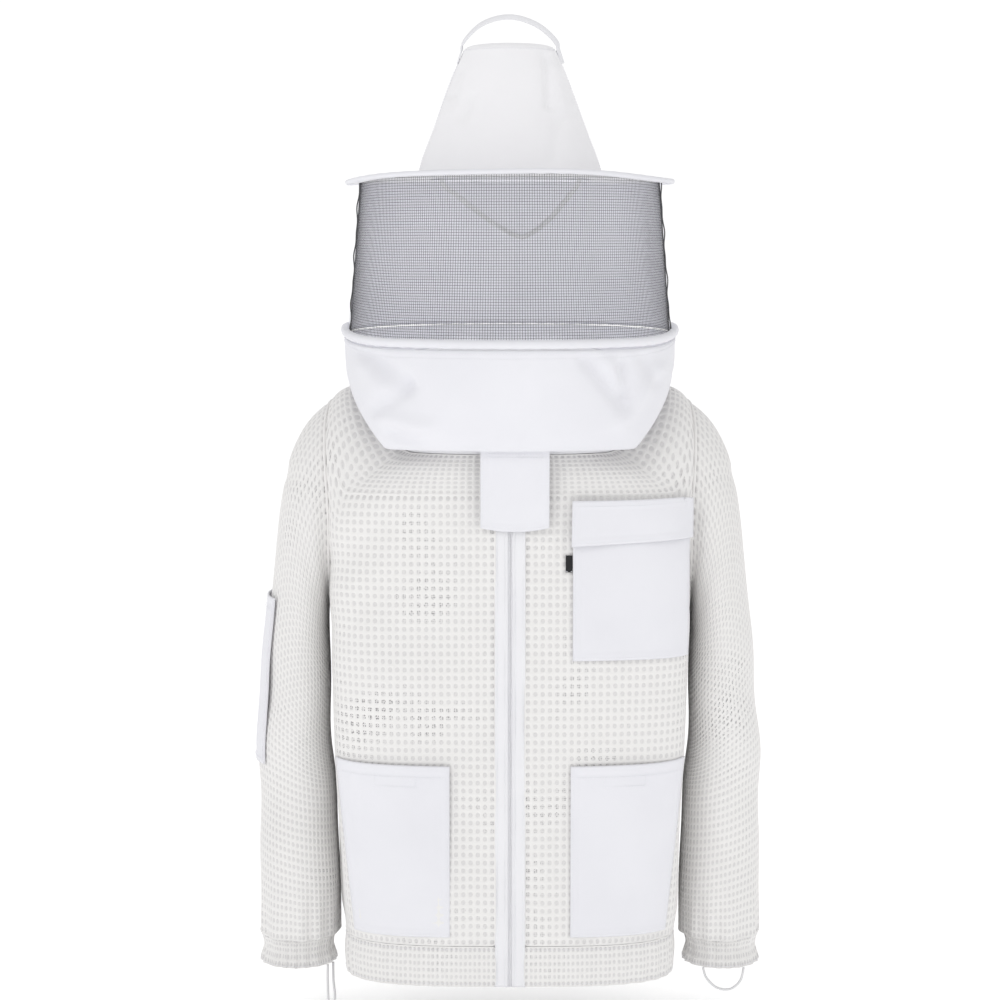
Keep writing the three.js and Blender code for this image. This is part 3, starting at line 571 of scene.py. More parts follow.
# Finds the surface point with the given Z and the given X or Y
def findOn(surface, axis, value, z, turn, along):
    turn, along = np.array(turn, float), np.array(along, float)
    step = 1e-4
    for _ in range(20):
        here = surface(turn, along)
        dTurn = (surface(turn + step, along) - here) / step
        dAlong = (surface(turn, along + step) - here) / step
        det = dTurn[..., axis] * dAlong[..., 2] - dAlong[..., axis] * dTurn[..., 2]
        miss, missZ = value - here[..., axis], z - here[..., 2]
        turn += np.clip((miss * dAlong[..., 2] - dAlong[..., axis] * missZ) / det, -0.015, 0.015)
        along += np.clip((dTurn[..., axis] * missZ - miss * dTurn[..., 2]) / det, -0.5, 0.5)
    return surface(turn, along)


def near(value, middle, width):
    return np.exp(-(((value - middle) / width) ** 2))


# Soft folds of the body cloth: fuller above the waistband, calm at the pockets, neck and armholes
def bodyDrape(points, turn, along):
    x, y, z = points[..., 0], points[..., 1], points[..., 2]
    angle = 2 * math.pi * turn
    blouse = near(z, -610, 60) * 2.2
    waves = np.sin(13 * angle + 0.012 * z) * (0.5 + 1.3 * near(z, -620, 110))
    folds = waves + 0.8 * np.sin(5 * angle - 0.02 * z + 1)
    drag = 2.2 * np.sin((np.abs(x) * 0.8 + z) * 0.075) * near(np.abs(x), 190, 45) * near(z, -180, 110)
    calm = 1 - 0.75 * near(z, -210, 120) * near(x, 140, 90) * (y < 0)
    calm = calm * np.clip((-58 - z) / 90, 0, 1) * np.clip((z + 650) / 25, 0, 1)
    fuller = blouse * np.clip((z + 650) / 25, 0, 1) * (1 - near(x, 0, 40) * (y < 0))
    return np.clip((folds + drag) * calm, -3.2, 2.6) + fuller


# Takes the sleeve's opening out of a grid and moves the cut cells' corners onto its edge
def cutArmholes(grid, surface):
    points = grid["points"]
    up = (points[:, 2] - armhole["middleZ"]) / armhole["halfHeight"]
    reach = (points[:, 1] / armhole["halfDepth"]) ** 2 + up**2
    inside = (reach < 1) & (np.abs(points[:, 0]) > armhole["from"])
    keep = ~inside[grid["faces"]].all(axis=1)
    grid["faces"], grid["corners"] = grid["faces"][keep], grid["corners"][keep]
    used = np.zeros(len(points), bool)
    used[grid["faces"].ravel()] = True
    moved = np.where(inside & used)[0]
    scale = np.sqrt(np.maximum(reach[moved], 1e-4))
    y = points[moved, 1] / scale
    z = armhole["middleZ"] + (points[moved, 2] - armhole["middleZ"]) / scale
    points[moved] = findOn(surface, 1, y, z, grid["turn"][moved], grid["along"][moved])
    kept = np.where(used)[0]
    fresh = np.full(len(points), -1)
    fresh[kept] = np.arange(len(kept))
    grid["faces"] = fresh[grid["faces"]]
    for key in ("points", "normals", "turn", "along"):
        grid[key] = grid[key][kept]
    return grid


# Geometry Nodes: every cell of a grid becomes a round-cornered hole with a sunk edge
netTree, netIn, netOut = newGroup("netHoles", "GeometryNodeTree", [
    ("Geometry", "NodeSocketGeometry", None),
    ("Hole Size", "NodeSocketFloat", 0.6),
    ("Sink", "NodeSocketFloat", 0.0017),
    ("Material", "NodeSocketMaterial", None),
], [("Geometry", "NodeSocketGeometry")])
sunk = maths(netTree, "MULTIPLY", netIn.outputs["Sink"], -1.0)
raised = addNode(netTree, "GeometryNodeExtrudeMesh", {
    "Mesh": netIn.outputs["Geometry"], "Offset Scale": sunk, "Individual": True,
}, mode="FACES")
shrunk = addNode(netTree, "GeometryNodeScaleElements", {
    "Geometry": raised.outputs["Mesh"], "Selection": raised.outputs["Top"],
    "Scale": netIn.outputs["Hole Size"],
}, domain="FACE")
opened = addNode(netTree, "GeometryNodeDeleteGeometry", {
    "Geometry": shrunk.outputs["Geometry"], "Selection": raised.outputs["Top"],
}, domain="FACE", mode="ALL")
rounded = addNode(netTree, "GeometryNodeSubdivisionSurface", {"Mesh": opened.outputs["Geometry"], "Level": 1})
smoothed = addNode(
    netTree, "GeometryNodeSetShadeSmooth", {"Geometry": rounded.outputs["Mesh"], "Shade Smooth": True},
)
real = addNode(netTree, "GeometryNodeRealizeInstances", {"Geometry": smoothed.outputs["Geometry"]})
clothed = addNode(
    netTree, "GeometryNodeSetMaterial",
    {"Geometry": real.outputs["Geometry"], "Material": netIn.outputs["Material"]},
)
netTree.links.new(clothed.outputs["Geometry"], netOut.inputs["Geometry"])

# Geometry Nodes: beads along lines, for stitches and zip teeth
beadTree, beadIn, beadOut = newGroup("beadsOnLines", "GeometryNodeTree", [
    ("Geometry", "NodeSocketGeometry", None),
    ("Pitch", "NodeSocketFloat", 0.0034),
    ("Bead Size", "NodeSocketVector", (0.0004, 0.0004, 0.0012)),
    ("Material", "NodeSocketMaterial", None),
], [("Geometry", "NodeSocketGeometry")])
beadLines = addNode(beadTree, "GeometryNodeMeshToCurve", {"Mesh": beadIn.outputs["Geometry"]})
beadSteps = addNode(
    beadTree, "GeometryNodeResampleCurve",
    {"Curve": beadLines.outputs["Curve"], "Length": beadIn.outputs["Pitch"]}, mode="LENGTH",
)
bead = addNode(beadTree, "GeometryNodeMeshUVSphere", {"Segments": 6, "Rings": 3, "Radius": 1.0})
beadTurn = addNode(
    beadTree, "FunctionNodeAlignRotationToVector",
    {"Vector": addNode(beadTree, "GeometryNodeInputTangent").outputs["Tangent"]}, axis="Z",
)
beadSet = addNode(beadTree, "GeometryNodeInstanceOnPoints", {
    "Points": beadSteps.outputs["Curve"], "Instance": bead.outputs["Mesh"],
    "Rotation": beadTurn.outputs["Rotation"],
    "Scale": beadIn.outputs["Bead Size"],
})
beadReal = addNode(beadTree, "GeometryNodeRealizeInstances", {"Geometry": beadSet.outputs["Instances"]})
beadSmooth = addNode(
    beadTree, "GeometryNodeSetShadeSmooth", {"Geometry": beadReal.outputs["Geometry"], "Shade Smooth": True},
)
beadCloth = addNode(
    beadTree, "GeometryNodeSetMaterial",
    {"Geometry": beadSmooth.outputs["Geometry"], "Material": beadIn.outputs["Material"]},
)
beadTree.links.new(beadCloth.outputs["Geometry"], beadOut.inputs["Geometry"])

# Geometry Nodes: yarns of an even thickness along lines, for the veil
yarnTree, yarnIn, yarnOut = newGroup("yarnsOnLines", "GeometryNodeTree", [
    ("Geometry", "NodeSocketGeometry", None),
    ("Yarn Radius", "NodeSocketFloat", 0.0003),
    ("Material", "NodeSocketMaterial", None),
], [("Geometry", "NodeSocketGeometry")])
yarnLines = addNode(yarnTree, "GeometryNodeMeshToCurve", {"Mesh": yarnIn.outputs["Geometry"]})
yarnRound = addNode(
    yarnTree, "GeometryNodeCurvePrimitiveCircle", {"Resolution": 4, "Radius": yarnIn.outputs["Yarn Radius"]},
)
yarnBody = addNode(
    yarnTree, "GeometryNodeCurveToMesh",
    {"Curve": yarnLines.outputs["Curve"], "Profile Curve": yarnRound.outputs["Curve"], "Fill Caps": True},
)
yarnReal = addNode(yarnTree, "GeometryNodeRealizeInstances", {"Geometry": yarnBody.outputs["Mesh"]})
yarnSmooth = addNode(
    yarnTree, "GeometryNodeSetShadeSmooth", {"Geometry": yarnReal.outputs["Geometry"], "Shade Smooth": True},
)
yarnCloth = addNode(
    yarnTree, "GeometryNodeSetMaterial",
    {"Geometry": yarnSmooth.outputs["Geometry"], "Material": yarnIn.outputs["Material"]},
)
yarnTree.links.new(yarnCloth.outputs["Geometry"], yarnOut.inputs["Geometry"])


# Runs a node tree on a piece and keeps only the mesh that comes out
def grown(name, base, tree, finish, **sizes):
    modifier = base.modifiers.new("nodes", "NODES")
    modifier.node_group = tree
    sockets = {item.name: item.identifier for item in tree.interface.items_tree if item.in_out == "INPUT"}
    modifier[sockets["Material"]] = materials[finish]
    for key, value in sizes.items():
        modifier[sockets[key.replace("_", " ")]] = value
    bpy.context.view_layer.update()
    evaluated = base.evaluated_get(bpy.context.evaluated_depsgraph_get())
    mesh = bpy.data.meshes.new_from_object(evaluated)
    mesh.name = name
    piece = bpy.data.objects.new(name, mesh)
    scene.collection.objects.link(piece)
    bpy.data.objects.remove(base)
    if not mesh.materials:
        mesh.materials.append(materials[finish])
    return piece


def linesPiece(name, lines):
    points, edges = [], []
    for line in lines:
        start = len(points)
        points.extend((np.asarray(line) * metre).tolist())
        edges.extend((start + k, start + k + 1) for k in range(len(line) - 1))
    mesh = bpy.data.meshes.new(name)
    mesh.from_pydata(points, edges, [])
    base = bpy.data.objects.new(name, mesh)
    scene.collection.objects.link(base)
    return base


stitchLines = {}


def stitch(body, line):
    stitchLines.setdefault(body, []).append(np.asarray(line, float))


def netPiece(name, grid):
    base = makeMesh(name + "Base", grid["points"], grid["faces"], "netYarn")
    return grown(name, base, netTree, "netYarn", Hole_Size=net["hole"], Sink=net["sink"] * metre)


# A body part in three-layer net: the outer net and its lining
def netCloth(name, grid, body, nodes, fitted=None):
    outer = netPiece(name + "Net", grid)
    lining = shell(name + "Lining", grid, net["lining"][0], net["lining"][1], "netLining")
    for piece in (outer, lining):
        if fitted:
            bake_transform(piece)
        else:
            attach(piece, body)
    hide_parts(*nodes)
    return outer


panels = {
    "leftFront": (0.75 + zipTurn, 1.0, 0.86, 0.93, ["left_front_panel"]),
    "back": (1.0, 1.5, 1.25, 1.25, ["back_panel"]),
    "rightFront": (1.5, 1.75 - zipTurn, 1.64, 1.57, ["right_front_panel"]),
}
yokeGrids = []
for name, (start, end, middle, shoulder, nodes) in panels.items():
    turns = evenSteps(lambda t: body(t, np.full_like(t, 2.0)), start, end, net["width"])
    alongs = evenSteps(lambda a: body(np.full_like(a, middle), a), 0.003, shoulderRow, net["height"])
    grid = cutArmholes(clothGrid(body, turns, alongs, drape=bodyDrape), body)
    netCloth(name, grid, "jacket", nodes)
    alongs = evenSteps(
        lambda a: body(np.full_like(a, shoulder), a), shoulderRow, neckRow - 0.02, net["height"],
    )
    yokeGrids.append(cutArmholes(clothGrid(body, turns, alongs, drape=bodyDrape), body))


def joinedGrids(grids):
    whole = {key: np.concatenate([g[key] for g in grids]) for key in ("points", "normals", "turn", "along")}
    starts = np.cumsum([0] + [len(g["points"]) for g in grids[:-1]])
    whole["faces"] = np.concatenate([g["faces"] + s for g, s in zip(grids, starts)])
    whole["corners"] = np.concatenate([g["corners"] for g in grids])
    whole["across"] = np.array([sum(g["across"][-1] for g in grids)])
    whole["down"] = np.array([max(g["down"][-1] for g in grids)])
    return whole


netCloth("yoke", joinedGrids(yokeGrids), "jacket", ["shoulder_yoke"])

# Seams of the body: down each side, round each armhole
seam = {"radius": 1.5, "proud": -0.3}


def onBody(turn, along, lift=0.0):
    turn, along = np.broadcast_arrays(np.asarray(turn, float), np.asarray(along, float))
    points, normals = body(turn, along), normalsOf(body, turn, along)
    return points + normals * (bodyDrape(points, turn, along) + lift)[..., None]


for name, turn in (("Left", 1.0), ("Right", 1.5)):
    tubeAlong(
        f"sideSeam{name}", onBody(turn, np.linspace(0.01, 2.45, 90), seam["proud"]), seam["radius"],
        "netYarn", sides=8,
    )
    settle(bpy.data.objects[f"sideSeam{name}"], "jacket", "net_fabric")
    angle = np.linspace(0, 2 * math.pi, 120, endpoint=False)
    y = armhole["halfDepth"] * np.sin(angle)
    z = armhole["middleZ"] + armhole["halfHeight"] * np.cos(angle)
    side = 1 if name == "Left" else -1
    startTurn = np.arctan2(y + 15, side * 219.0) / (2 * math.pi)
    ring = findOn(body, 1, y, z, startTurn % 1.0 if side < 0 else startTurn, np.full(120, 3.0))
    ring[:, 0] += side * 0.6
    tubeAlong(f"armholeSeam{name}", ring, 2.0 + 0.3 * np.sin(angle * 23), "netYarn", sides=8, loop=True)
    settle(bpy.data.objects[f"armholeSeam{name}"], "jacket", "net_fabric")
print("body sewn")

# Waistband: the same net, drawn in by an elastic and ruched away from the zip
band = {"ruche": 2.6, "pitch": 17.0, "cell": 5.6, "height": 8.2}
hem = lofted([{"z": z, "half": 203, "front": 132, "back": 116, "squareness": 3.4} for z in (-700, -650.3)])


def bandDrape(points, turn, along):
    run = turn * 2 * math.pi * 185
    sides = 1 - near(points[..., 0], 0, 95) * (points[..., 1] < 0)
    gather = np.sin(run * 2 * math.pi / band["pitch"] + 1.3 * np.sin(run * 0.021))
    puff = 0.6 + 0.4 * np.sin(along * math.pi)
    edge = 0.8 * np.sin(run * 0.31) * (1 - along) + 1.6 * np.sin(along * math.pi) ** 2
    return (gather * band["ruche"] * puff * 0.5 - 0.6) * sides + edge


bandTurns = evenSteps(lambda t: hem(t, np.zeros_like(t)), 0.75 + zipTurn, 1.75 - zipTurn, band["cell"])
bandAlongs = np.linspace(0, 1, round(50 / band["height"]) + 1)
netCloth(
    "waistband", clothGrid(hem, bandTurns, bandAlongs, drape=bandDrape), "jacket", ["waistband"],
)
elasticTurns = evenSteps(lambda t: hem(t, np.zeros_like(t)), 0.92, 1.58, 9)
grid = clothGrid(hem, elasticTurns, np.linspace(0.22, 0.78, 6))
elastic = settle(
    shell("waistElastic", grid, -6.2, -4.8, "ribbedElastic"), "jacket", "elastic", "waist_elastic",
)
for level in (0.08, 0.93):
    turn = np.linspace(0.76 + zipTurn, 1.74 - zipTurn, 700)
    points, normals = hem(turn, np.full_like(turn, level)), normalsOf(hem, turn, np.full_like(turn, level))
    stitch("jacket", points + normals * (bandDrape(points, turn, np.full_like(turn, level)) + 0.2)[:, None])

# The armhole's edge, worked out once; the sleeve's first rows follow it
cuffTopZ = -664.6
ringTurns = np.linspace(-1, 1, 721)
ringY = (armhole["halfDepth"] - 0.6) * np.sin(ringTurns * 2 * math.pi)
ringZ = armhole["middleZ"] + (armhole["halfHeight"] - 0.6) * np.cos(ringTurns * 2 * math.pi)
ringStart = np.arctan2(ringY + 15, 219) / (2 * math.pi)
armholeRing = findOn(body, 1, ringY, ringZ, ringStart, np.full_like(ringY, 3.0))


def armholePoint(turn, reach):
    point = np.stack([np.interp(turn, ringTurns, armholeRing[:, k]) for k in range(3)], axis=-1)
    return point + np.array([reach, 0, 0])


def sleevePoint(row, turn):
    angle = turn * 2 * math.pi
    if "armhole" in row:
        return armholePoint(turn, row["armhole"])
    (innerX, innerZ), (outerX, outerZ) = row["inner"], row["outer"]
    reach = np.cos(angle) / 2
    return np.stack([
        (innerX + outerX) / 2 + (outerX - innerX) * reach, row["depth"] * np.sin(angle),
        (innerZ + outerZ) / 2 + (outerZ - innerZ) * reach,
    ], axis=-1)


sleeveRows = [
    {"armhole": -1}, {"armhole": 2},
    {"inner": (222.6, -263), "outer": (246.6, -27), "depth": 84},
    {"inner": (222.6, -286), "outer": (268.6, -68), "depth": 82},
    {"inner": (222.1, -315), "outer": (280.6, -123), "depth": 80},
    {"inner": (221.6, -355), "outer": (289.6, -200), "depth": 76},
    {"inner": (220.6, -423), "outer": (300.6, -305), "depth": 72},
    {"inner": (216, -478.8), "outer": (310, -440), "depth": 68},
    {"inner": (211, -600.9), "outer": (311, -578.3), "depth": 64},
    {"inner": (211, -664), "outer": (311, -664), "depth": 62},
]
cuffRows = [
    {"inner": (264 - 46.5 + pinch, z), "outer": (264 + 46.5 - pinch, z), "depth": 50 - pinch}
    for z, pinch in ((cuffTopZ, 0), (cuffTopZ - 14.8, 2), (cuffTopZ - 37, -1))
]


# Folds of a sleeve: slack at the elbow, drawn in above the cuff
def sleeveDrape(points, turn, along):
    z, angle = points[..., 2], 2 * math.pi * turn
    gather = np.sin(11 * angle + 1.5 * np.sin(3 * angle)) * 2.4 * near(z, -660, 45)
    slack = 2.4 * np.sin(z * 0.045 + 2.2 * np.cos(angle)) * near(z, -420, 130)
    cap = -2.5 * near(z, -92, 10) * np.clip(np.cos(angle), 0, 1)
    calm = np.clip(along / 2, 0, 1) ** 2 * np.clip(np.cos(angle) + 1.4, 0.35, 1)
    return np.clip((gather + slack) * calm, -3.0, 2.4) + cap


def cuffDrape(points, turn, along):
    angle = 2 * math.pi * turn
    gather = np.sin(19 * angle + 1.1 * np.sin(4 * angle)) * 1.7
    frill = 1.3 * np.sin(23 * angle) * np.clip(along - 1.3, 0, 1)
    waist = -1.6 * near(along, 1.15, 0.4)
    return gather * (0.4 + 0.6 * np.abs(along - 1)) + frill + waist


bend = {"from": 0.234, "to": 0.250, "drop": -0.0011}
for side, sign in (("left", 1), ("right", -1)):
    def armSurface(rows, sign=sign):
        made = lofted(rows, sleevePoint)
        if sign > 0:
            return lambda turn, along: made(-turn, along)
        return lambda turn, along: made(turn, along) * np.array([-1, 1, 1])
    sleeve, cuff = armSurface(sleeveRows), armSurface(cuffRows)
    turns = np.linspace(0, 1, 57)
    alongs = evenSteps(lambda a: sleeve(np.full_like(a, 0.1), a), 0, 9, net["height"])
    grid = clothGrid(sleeve, turns, alongs, loop=True, drape=sleeveDrape)
    # ends of a bend, passed on as fitted, where netCloth only bakes the pieces' transforms; nothing bends the
    # cloth
    start, end = (sign * bend["from"], 0, 0), (sign * bend["to"], 0, bend["drop"])
    netCloth(side + "Sleeve", grid, f"{side}_sleeve", [f"sleeve_{side}"], fitted=(start, end))
    turns = np.linspace(0, 1, 73)
    grid = clothGrid(cuff, turns, np.linspace(0, 2, 6), loop=True, drape=cuffDrape)
    netCloth(side + "Cuff", grid, f"{side}_sleeve", [f"cuff_{side}"])
    grid = clothGrid(cuff, np.linspace(0, 1, 61), np.linspace(0.7, 1.3, 5), loop=True)
    elastic = shell(side + "CuffElastic", grid, -7.2, -5.8, "ribbedElastic")
    settle(elastic, f"{side}_sleeve", "elastic", f"cuff_elastic_{side}")
    turn = np.linspace(0, 1, 200)
    for level in (0.12, 1.88):
        along = np.full_like(turn, level)
        points = cuff(turn, along)
        stitch(
            f"{side}_sleeve",
            points + normalsOf(cuff, turn, along) * (cuffDrape(points, turn, along) + 0.2)[:, None],
        )
    ring = cuff(np.linspace(0, 1, 120, endpoint=False), np.full(120, 0.0))
    joint = tubeAlong(side + "CuffSeam", ring + np.array([0, 0, 0.4]), 1.9, "netYarn", loop=True)
    settle(joint, f"{side}_sleeve", "net_fabric")
print("sleeves hung")

# Front zip: ribbed tapes, coil teeth, and the neck zip's two tapes
zipBand = {"tapeX": (1.9, 18.0), "topZ": -58.6, "tapeY": -131.2, "toothX": 0.95, "toothPitch": 1.7}
for side, sign in (("right", -1), ("left", 1)):
    def tapeSurface(turn, along, sign=sign):
        share = turn if sign > 0 else 1 - turn
        x = sign * between(zipBand["tapeX"][0], zipBand["tapeX"][1], share)
        ridge = 1.6 * near(share, 0.16, 0.08) + 0.9 * near(share, 0.93, 0.08) + 0.5
        wave = 0.35 * np.sin(along * 0.05 + sign)
        return np.stack([x, zipBand["tapeY"] - ridge + wave, along], axis=-1)
    grid = clothGrid(tapeSurface, np.linspace(0, 1, 21), np.linspace(hemZ, zipBand["topZ"], 150), step=1e-3)
    tape = settle(
        shell(f"{side}ZipTape", grid, -1.0, 0.0, "zipTape"), "jacket", "tape", f"front_zip_tape_{side}",
    )
    toothLine = [
        (sign * zipBand["toothX"], -131.9, z) for z in np.linspace(hemZ + 1, zipBand["topZ"] - 1, 60)
    ]
    teeth = grown(f"{side}ZipTeeth", linesPiece(f"{side}TeethLine", [toothLine]), beadTree, "zipCoil",
                  Pitch=zipBand["toothPitch"] * metre, Bead_Size=(0.0012, 0.0013, 0.00062))
    settle(teeth, "jacket", "zip_plastic")
    cordLine = [(sign * 1.1, -130.9, z) for z in np.linspace(hemZ + 0.5, zipBand["topZ"] - 0.5, 90)]
    core = tubeAlong(f"{side}ZipCore", cordLine, 1.0, "zipCoil", sides=8)
    settle(core, "jacket", "zip_plastic", f"front_zip_coil_{side}")
    for x in (6.4, 15.2):
        stitch("jacket", [(sign * x, -132.1, z) for z in np.linspace(hemZ + 3, zipBand["topZ"] - 3, 120)])

neckZip = lofted([
    {
        "z": 14.3 + rise, "frontZ": -57.7 + rise, "backZ": 40.3 + rise, "half": 147, "front": 132,
        "back": 102, "squareness": 2.4,
    }
    for rise in (0, 8.5, 17)
])
for name, bodyName, turns, alongs, node, loop in (
    (
        "neckZipLower", "jacket", np.linspace(0.75 + zipTurn, 1.75 - zipTurn, 220), (0.0, 0.93),
        "neck_zip_lower_tape", False,
    ),
    ("neckZipUpper", "hood", np.linspace(0, 1, 221), (1.07, 1.97), "neck_zip_upper_tape", True),
):
    grid = clothGrid(neckZip, turns, np.linspace(*alongs, 7), loop=loop)
    tape = settle(shell(name, grid, -1.6, -0.4, "zipTape"), bodyName, "tape", node)
    level = alongs[1] - 0.02 if not loop else alongs[0] + 0.02
    levels = np.full_like(turns, level)
    line = neckZip(turns, levels) + normalsOf(neckZip, turns, levels) * -0.3
    teeth = grown(
        name + "Teeth", linesPiece(name + "Line", [line]), beadTree, "zipCoil", Pitch=0.0024,
        Bead_Size=(0.0009, 0.0011, 0.0007),
    )
    settle(teeth, bodyName, "zip_plastic")


# Patches on the front of the jacket, following it between four corners
def frontPatch(corners):
    corners = np.asarray(corners, float)

    def place(across, along):
        across, along = np.broadcast_arrays(np.asarray(across, float), np.asarray(along, float))
        low = between(corners[0], corners[1], across[..., None])
        high = between(corners[3], corners[2], across[..., None])
        spot = between(low, high, along[..., None])
        turn = 0.75 + np.arctan(spot[..., 0] / frontReach) / (2 * math.pi)
        start = np.interp(-spot[..., 1], [105, 243, 650], [4, 2.4, 0.1])
        return findOn(body, 0, spot[..., 0], spot[..., 1], turn, start)
    return place


# A sewn patch with a turned edge, a little fullness and a row of stitches inside its edge
def patchPiece(
    name, corners, cells, base, look, body, slot, node, hemWidth=8.0, full=1.2,
    edges=("low", "high", "left", "right"), wave=None, inset=3.0, thick=1.3,
):
    surface = frontPatch(corners)
    grid = clothGrid(surface, np.linspace(0, 1, cells[0]), np.linspace(0, 1, cells[1]), step=1e-3)
    width, height = grid["across"][-1], grid["down"][-1]
    u, v = grid["turn"] * width, grid["along"] * height
    edge = np.full(len(u), 1e3)
    for kind, gap in (("left", u), ("right", width - u), ("low", v), ("high", height - v)):
        if kind in edges:
            edge = np.minimum(edge, gap)
    dome = np.sin(np.clip(u / width, 0, 1) * math.pi) * np.sin(np.clip(v / height, 0, 1) * math.pi)
    fullness = full * dome**0.6
    turned = 0.75 / (1 + np.exp((edge - hemWidth) / 0.7))
    soft = 0.45 * np.sin(u * 0.055 + v * 0.03) + 0.35 * np.sin(v * 0.07 - u * 0.02 + 2)
    lift = base + fullness + soft * np.clip(edge / 25, 0, 1)
    if wave is not None:
        lift = lift + wave(u / width, v / height)
    piece = shell(name, grid, lift, lift + thick + turned, look)
    settle(piece, body, slot, node)

    def line(points):
        points = np.asarray(points, float)
        us, vs = points[:, 0] / width, points[:, 1] / height
        place, normal = surface(us, vs), normalsOf(surface, us, vs)
        fill = full * (np.sin(np.clip(us, 0, 1) * math.pi) * np.sin(np.clip(vs, 0, 1) * math.pi)) ** 0.6
        extra = wave(us, vs) if wave is not None else 0.0
        stitch(body, place + normal * (base + fill + thick + 0.85 + extra)[:, None])

    def straight(a, b):
        count = max(2, round(math.dist(a, b) / 6))
        line(np.linspace(a, b, count))
    far = (width - inset, height - inset)
    if "left" in edges:
        straight((inset, inset), (inset, far[1]))
    if "right" in edges:
        straight((far[0], inset), far)
    if "low" in edges:
        straight((inset, inset), (far[0], inset))
    return piece, width, height, straight


chest = {"inner": 74, "outer": 211, "top": -116, "bottom": -303}
chestPatch = patchPiece("chestPocket", [
    (chest["inner"], chest["bottom"]), (chest["outer"], chest["bottom"] + 2),
    (chest["outer"] + 1, chest["top"]), (chest["inner"], chest["top"]),
], (70, 90), 1.3, "cottonTwill", "jacket", "cotton", "chest_pocket", full=1.0)
patchPiece("pocketLoopPatch", [
    (chest["inner"] + 30, -152), (chest["outer"] - 40, -152),
    (chest["outer"] - 40, -134), (chest["inner"] + 30, -134),
], (24, 8), 4.6, "touchFastener", "jacket", "touch_fastener", "chest_pocket_loop_patch",
    full=0.0, thick=0.8, hemWidth=2, inset=1.5)


def flapWave(u, v):
    loose = np.clip(1 - u / 0.35, 0, 1) ** 2 * np.clip(1 - v / 0.8, 0, 1)
    return 3.4 * loose + 0.7 * np.sin(u * 9) * np.clip(1 - v, 0, 1) ** 2


flapPiece = patchPiece("chestFlap", [
    (chest["inner"] - 2, -166), (chest["outer"], -159),
    (chest["outer"] + 1, -112), (chest["inner"] - 1, -112),
], (80, 30), 6.0, "cottonTwill", "chest_flap", "cotton", "chest_flap", full=0.3, wave=flapWave)
flapWidth, flapHeight, flapStitch = flapPiece[1:]
for inset in (2.0, 6.5):
    flapStitch((2, flapHeight - inset), (flapWidth - 2, flapHeight - inset))
patchPiece("pocketTag", [
    (65.5, -197), (73.4, -197), (73.4, -177), (65.5, -177),
], (10, 22), 0.5, "tagBlack", "jacket", "tag", "pocket_tag",
           full=0.4, thick=0.7, hemWidth=0.8, edges=("low", "high"), inset=1.2)

lower = {"inner": 72, "outer": 208, "slant": 22, "top": -430, "bottom": -638}
for side, sign in (("right", -1), ("left", 1)):
    corners = [
        (sign * lower["inner"], lower["bottom"]), (sign * (lower["outer"] - lower["slant"]), lower["bottom"]),
        (sign * lower["outer"], lower["top"] + 3), (sign * lower["inner"], lower["top"]),
    ]
    if sign < 0:
        corners = [corners[1], corners[0], corners[3], corners[2]]

    def sag(u, v):
        swell = np.sin(np.clip(u, 0, 1) * math.pi)
        return 1.6 * near(v, 0.25, 0.3) * swell + 1.2 * near(v, 1.0, 0.12) * swell
    piece, width, height, straight = patchPiece(
        f"{side}LowerPocket", corners, (70, 96), 1.3, "cottonTwill", "jacket", "cotton",
        f"lower_pocket_{side}", full=0.9, wave=sag)
    straight((3, height - 14), (width - 3, height - 14))
    left, right = (0.30, 0.66) if sign > 0 else (0.34, 0.70)
    box = [
        (left * width, height - 26), (right * width, height - 26), (right * width, height - 14),
        (left * width, height - 14),
    ]
    for a, b in ((box[0], box[1]), (box[1], box[2]), (box[3], box[0])):
        straight(a, b)
chestWidth, chestHeight, chestStitch = chestPatch[1:]
chestStitch((3, chestHeight - 16), (chestWidth - 3, chestHeight - 16))
for side, start, end in (("right", -33, -18), ("left", 18, 42)):
    patchPiece(f"{side}TabPatch", [
        (start, -138), (end, -138), (end, -100), (start, -100),
    ], (14, 22), 0.4, "touchFastener", "jacket",
               "touch_fastener", f"tab_loop_patch_{side}", full=0.0, thick=0.8, hemWidth=1.6, inset=1.3)

# Sleeve pocket, on the outer side of the right sleeve
rightArm = lofted(sleeveRows, sleevePoint)


def rightSleeve(turn, along):
    return rightArm(turn, along) * np.array([-1, 1, 1])


def onSleeve(across, z):
    across, z = np.broadcast_arrays(np.asarray(across, float), np.asarray(z, float))
    along = np.full(across.shape, 6.0)
    for _ in range(12):
        here = rightSleeve(across, along)[..., 2]
        slope = (rightSleeve(across, along + 1e-4)[..., 2] - here) / 1e-4
        along = along + (z - here) / slope
    return rightSleeve(across, along)


sleevePocket = {"turn": 0.12, "top": -240, "bottom": -445}


def pocketSurface(u, v):
    turn = -sleevePocket["turn"] + 2 * sleevePocket["turn"] * (1 - u)
    return onSleeve(turn, between(sleevePocket["bottom"], sleevePocket["top"], v))


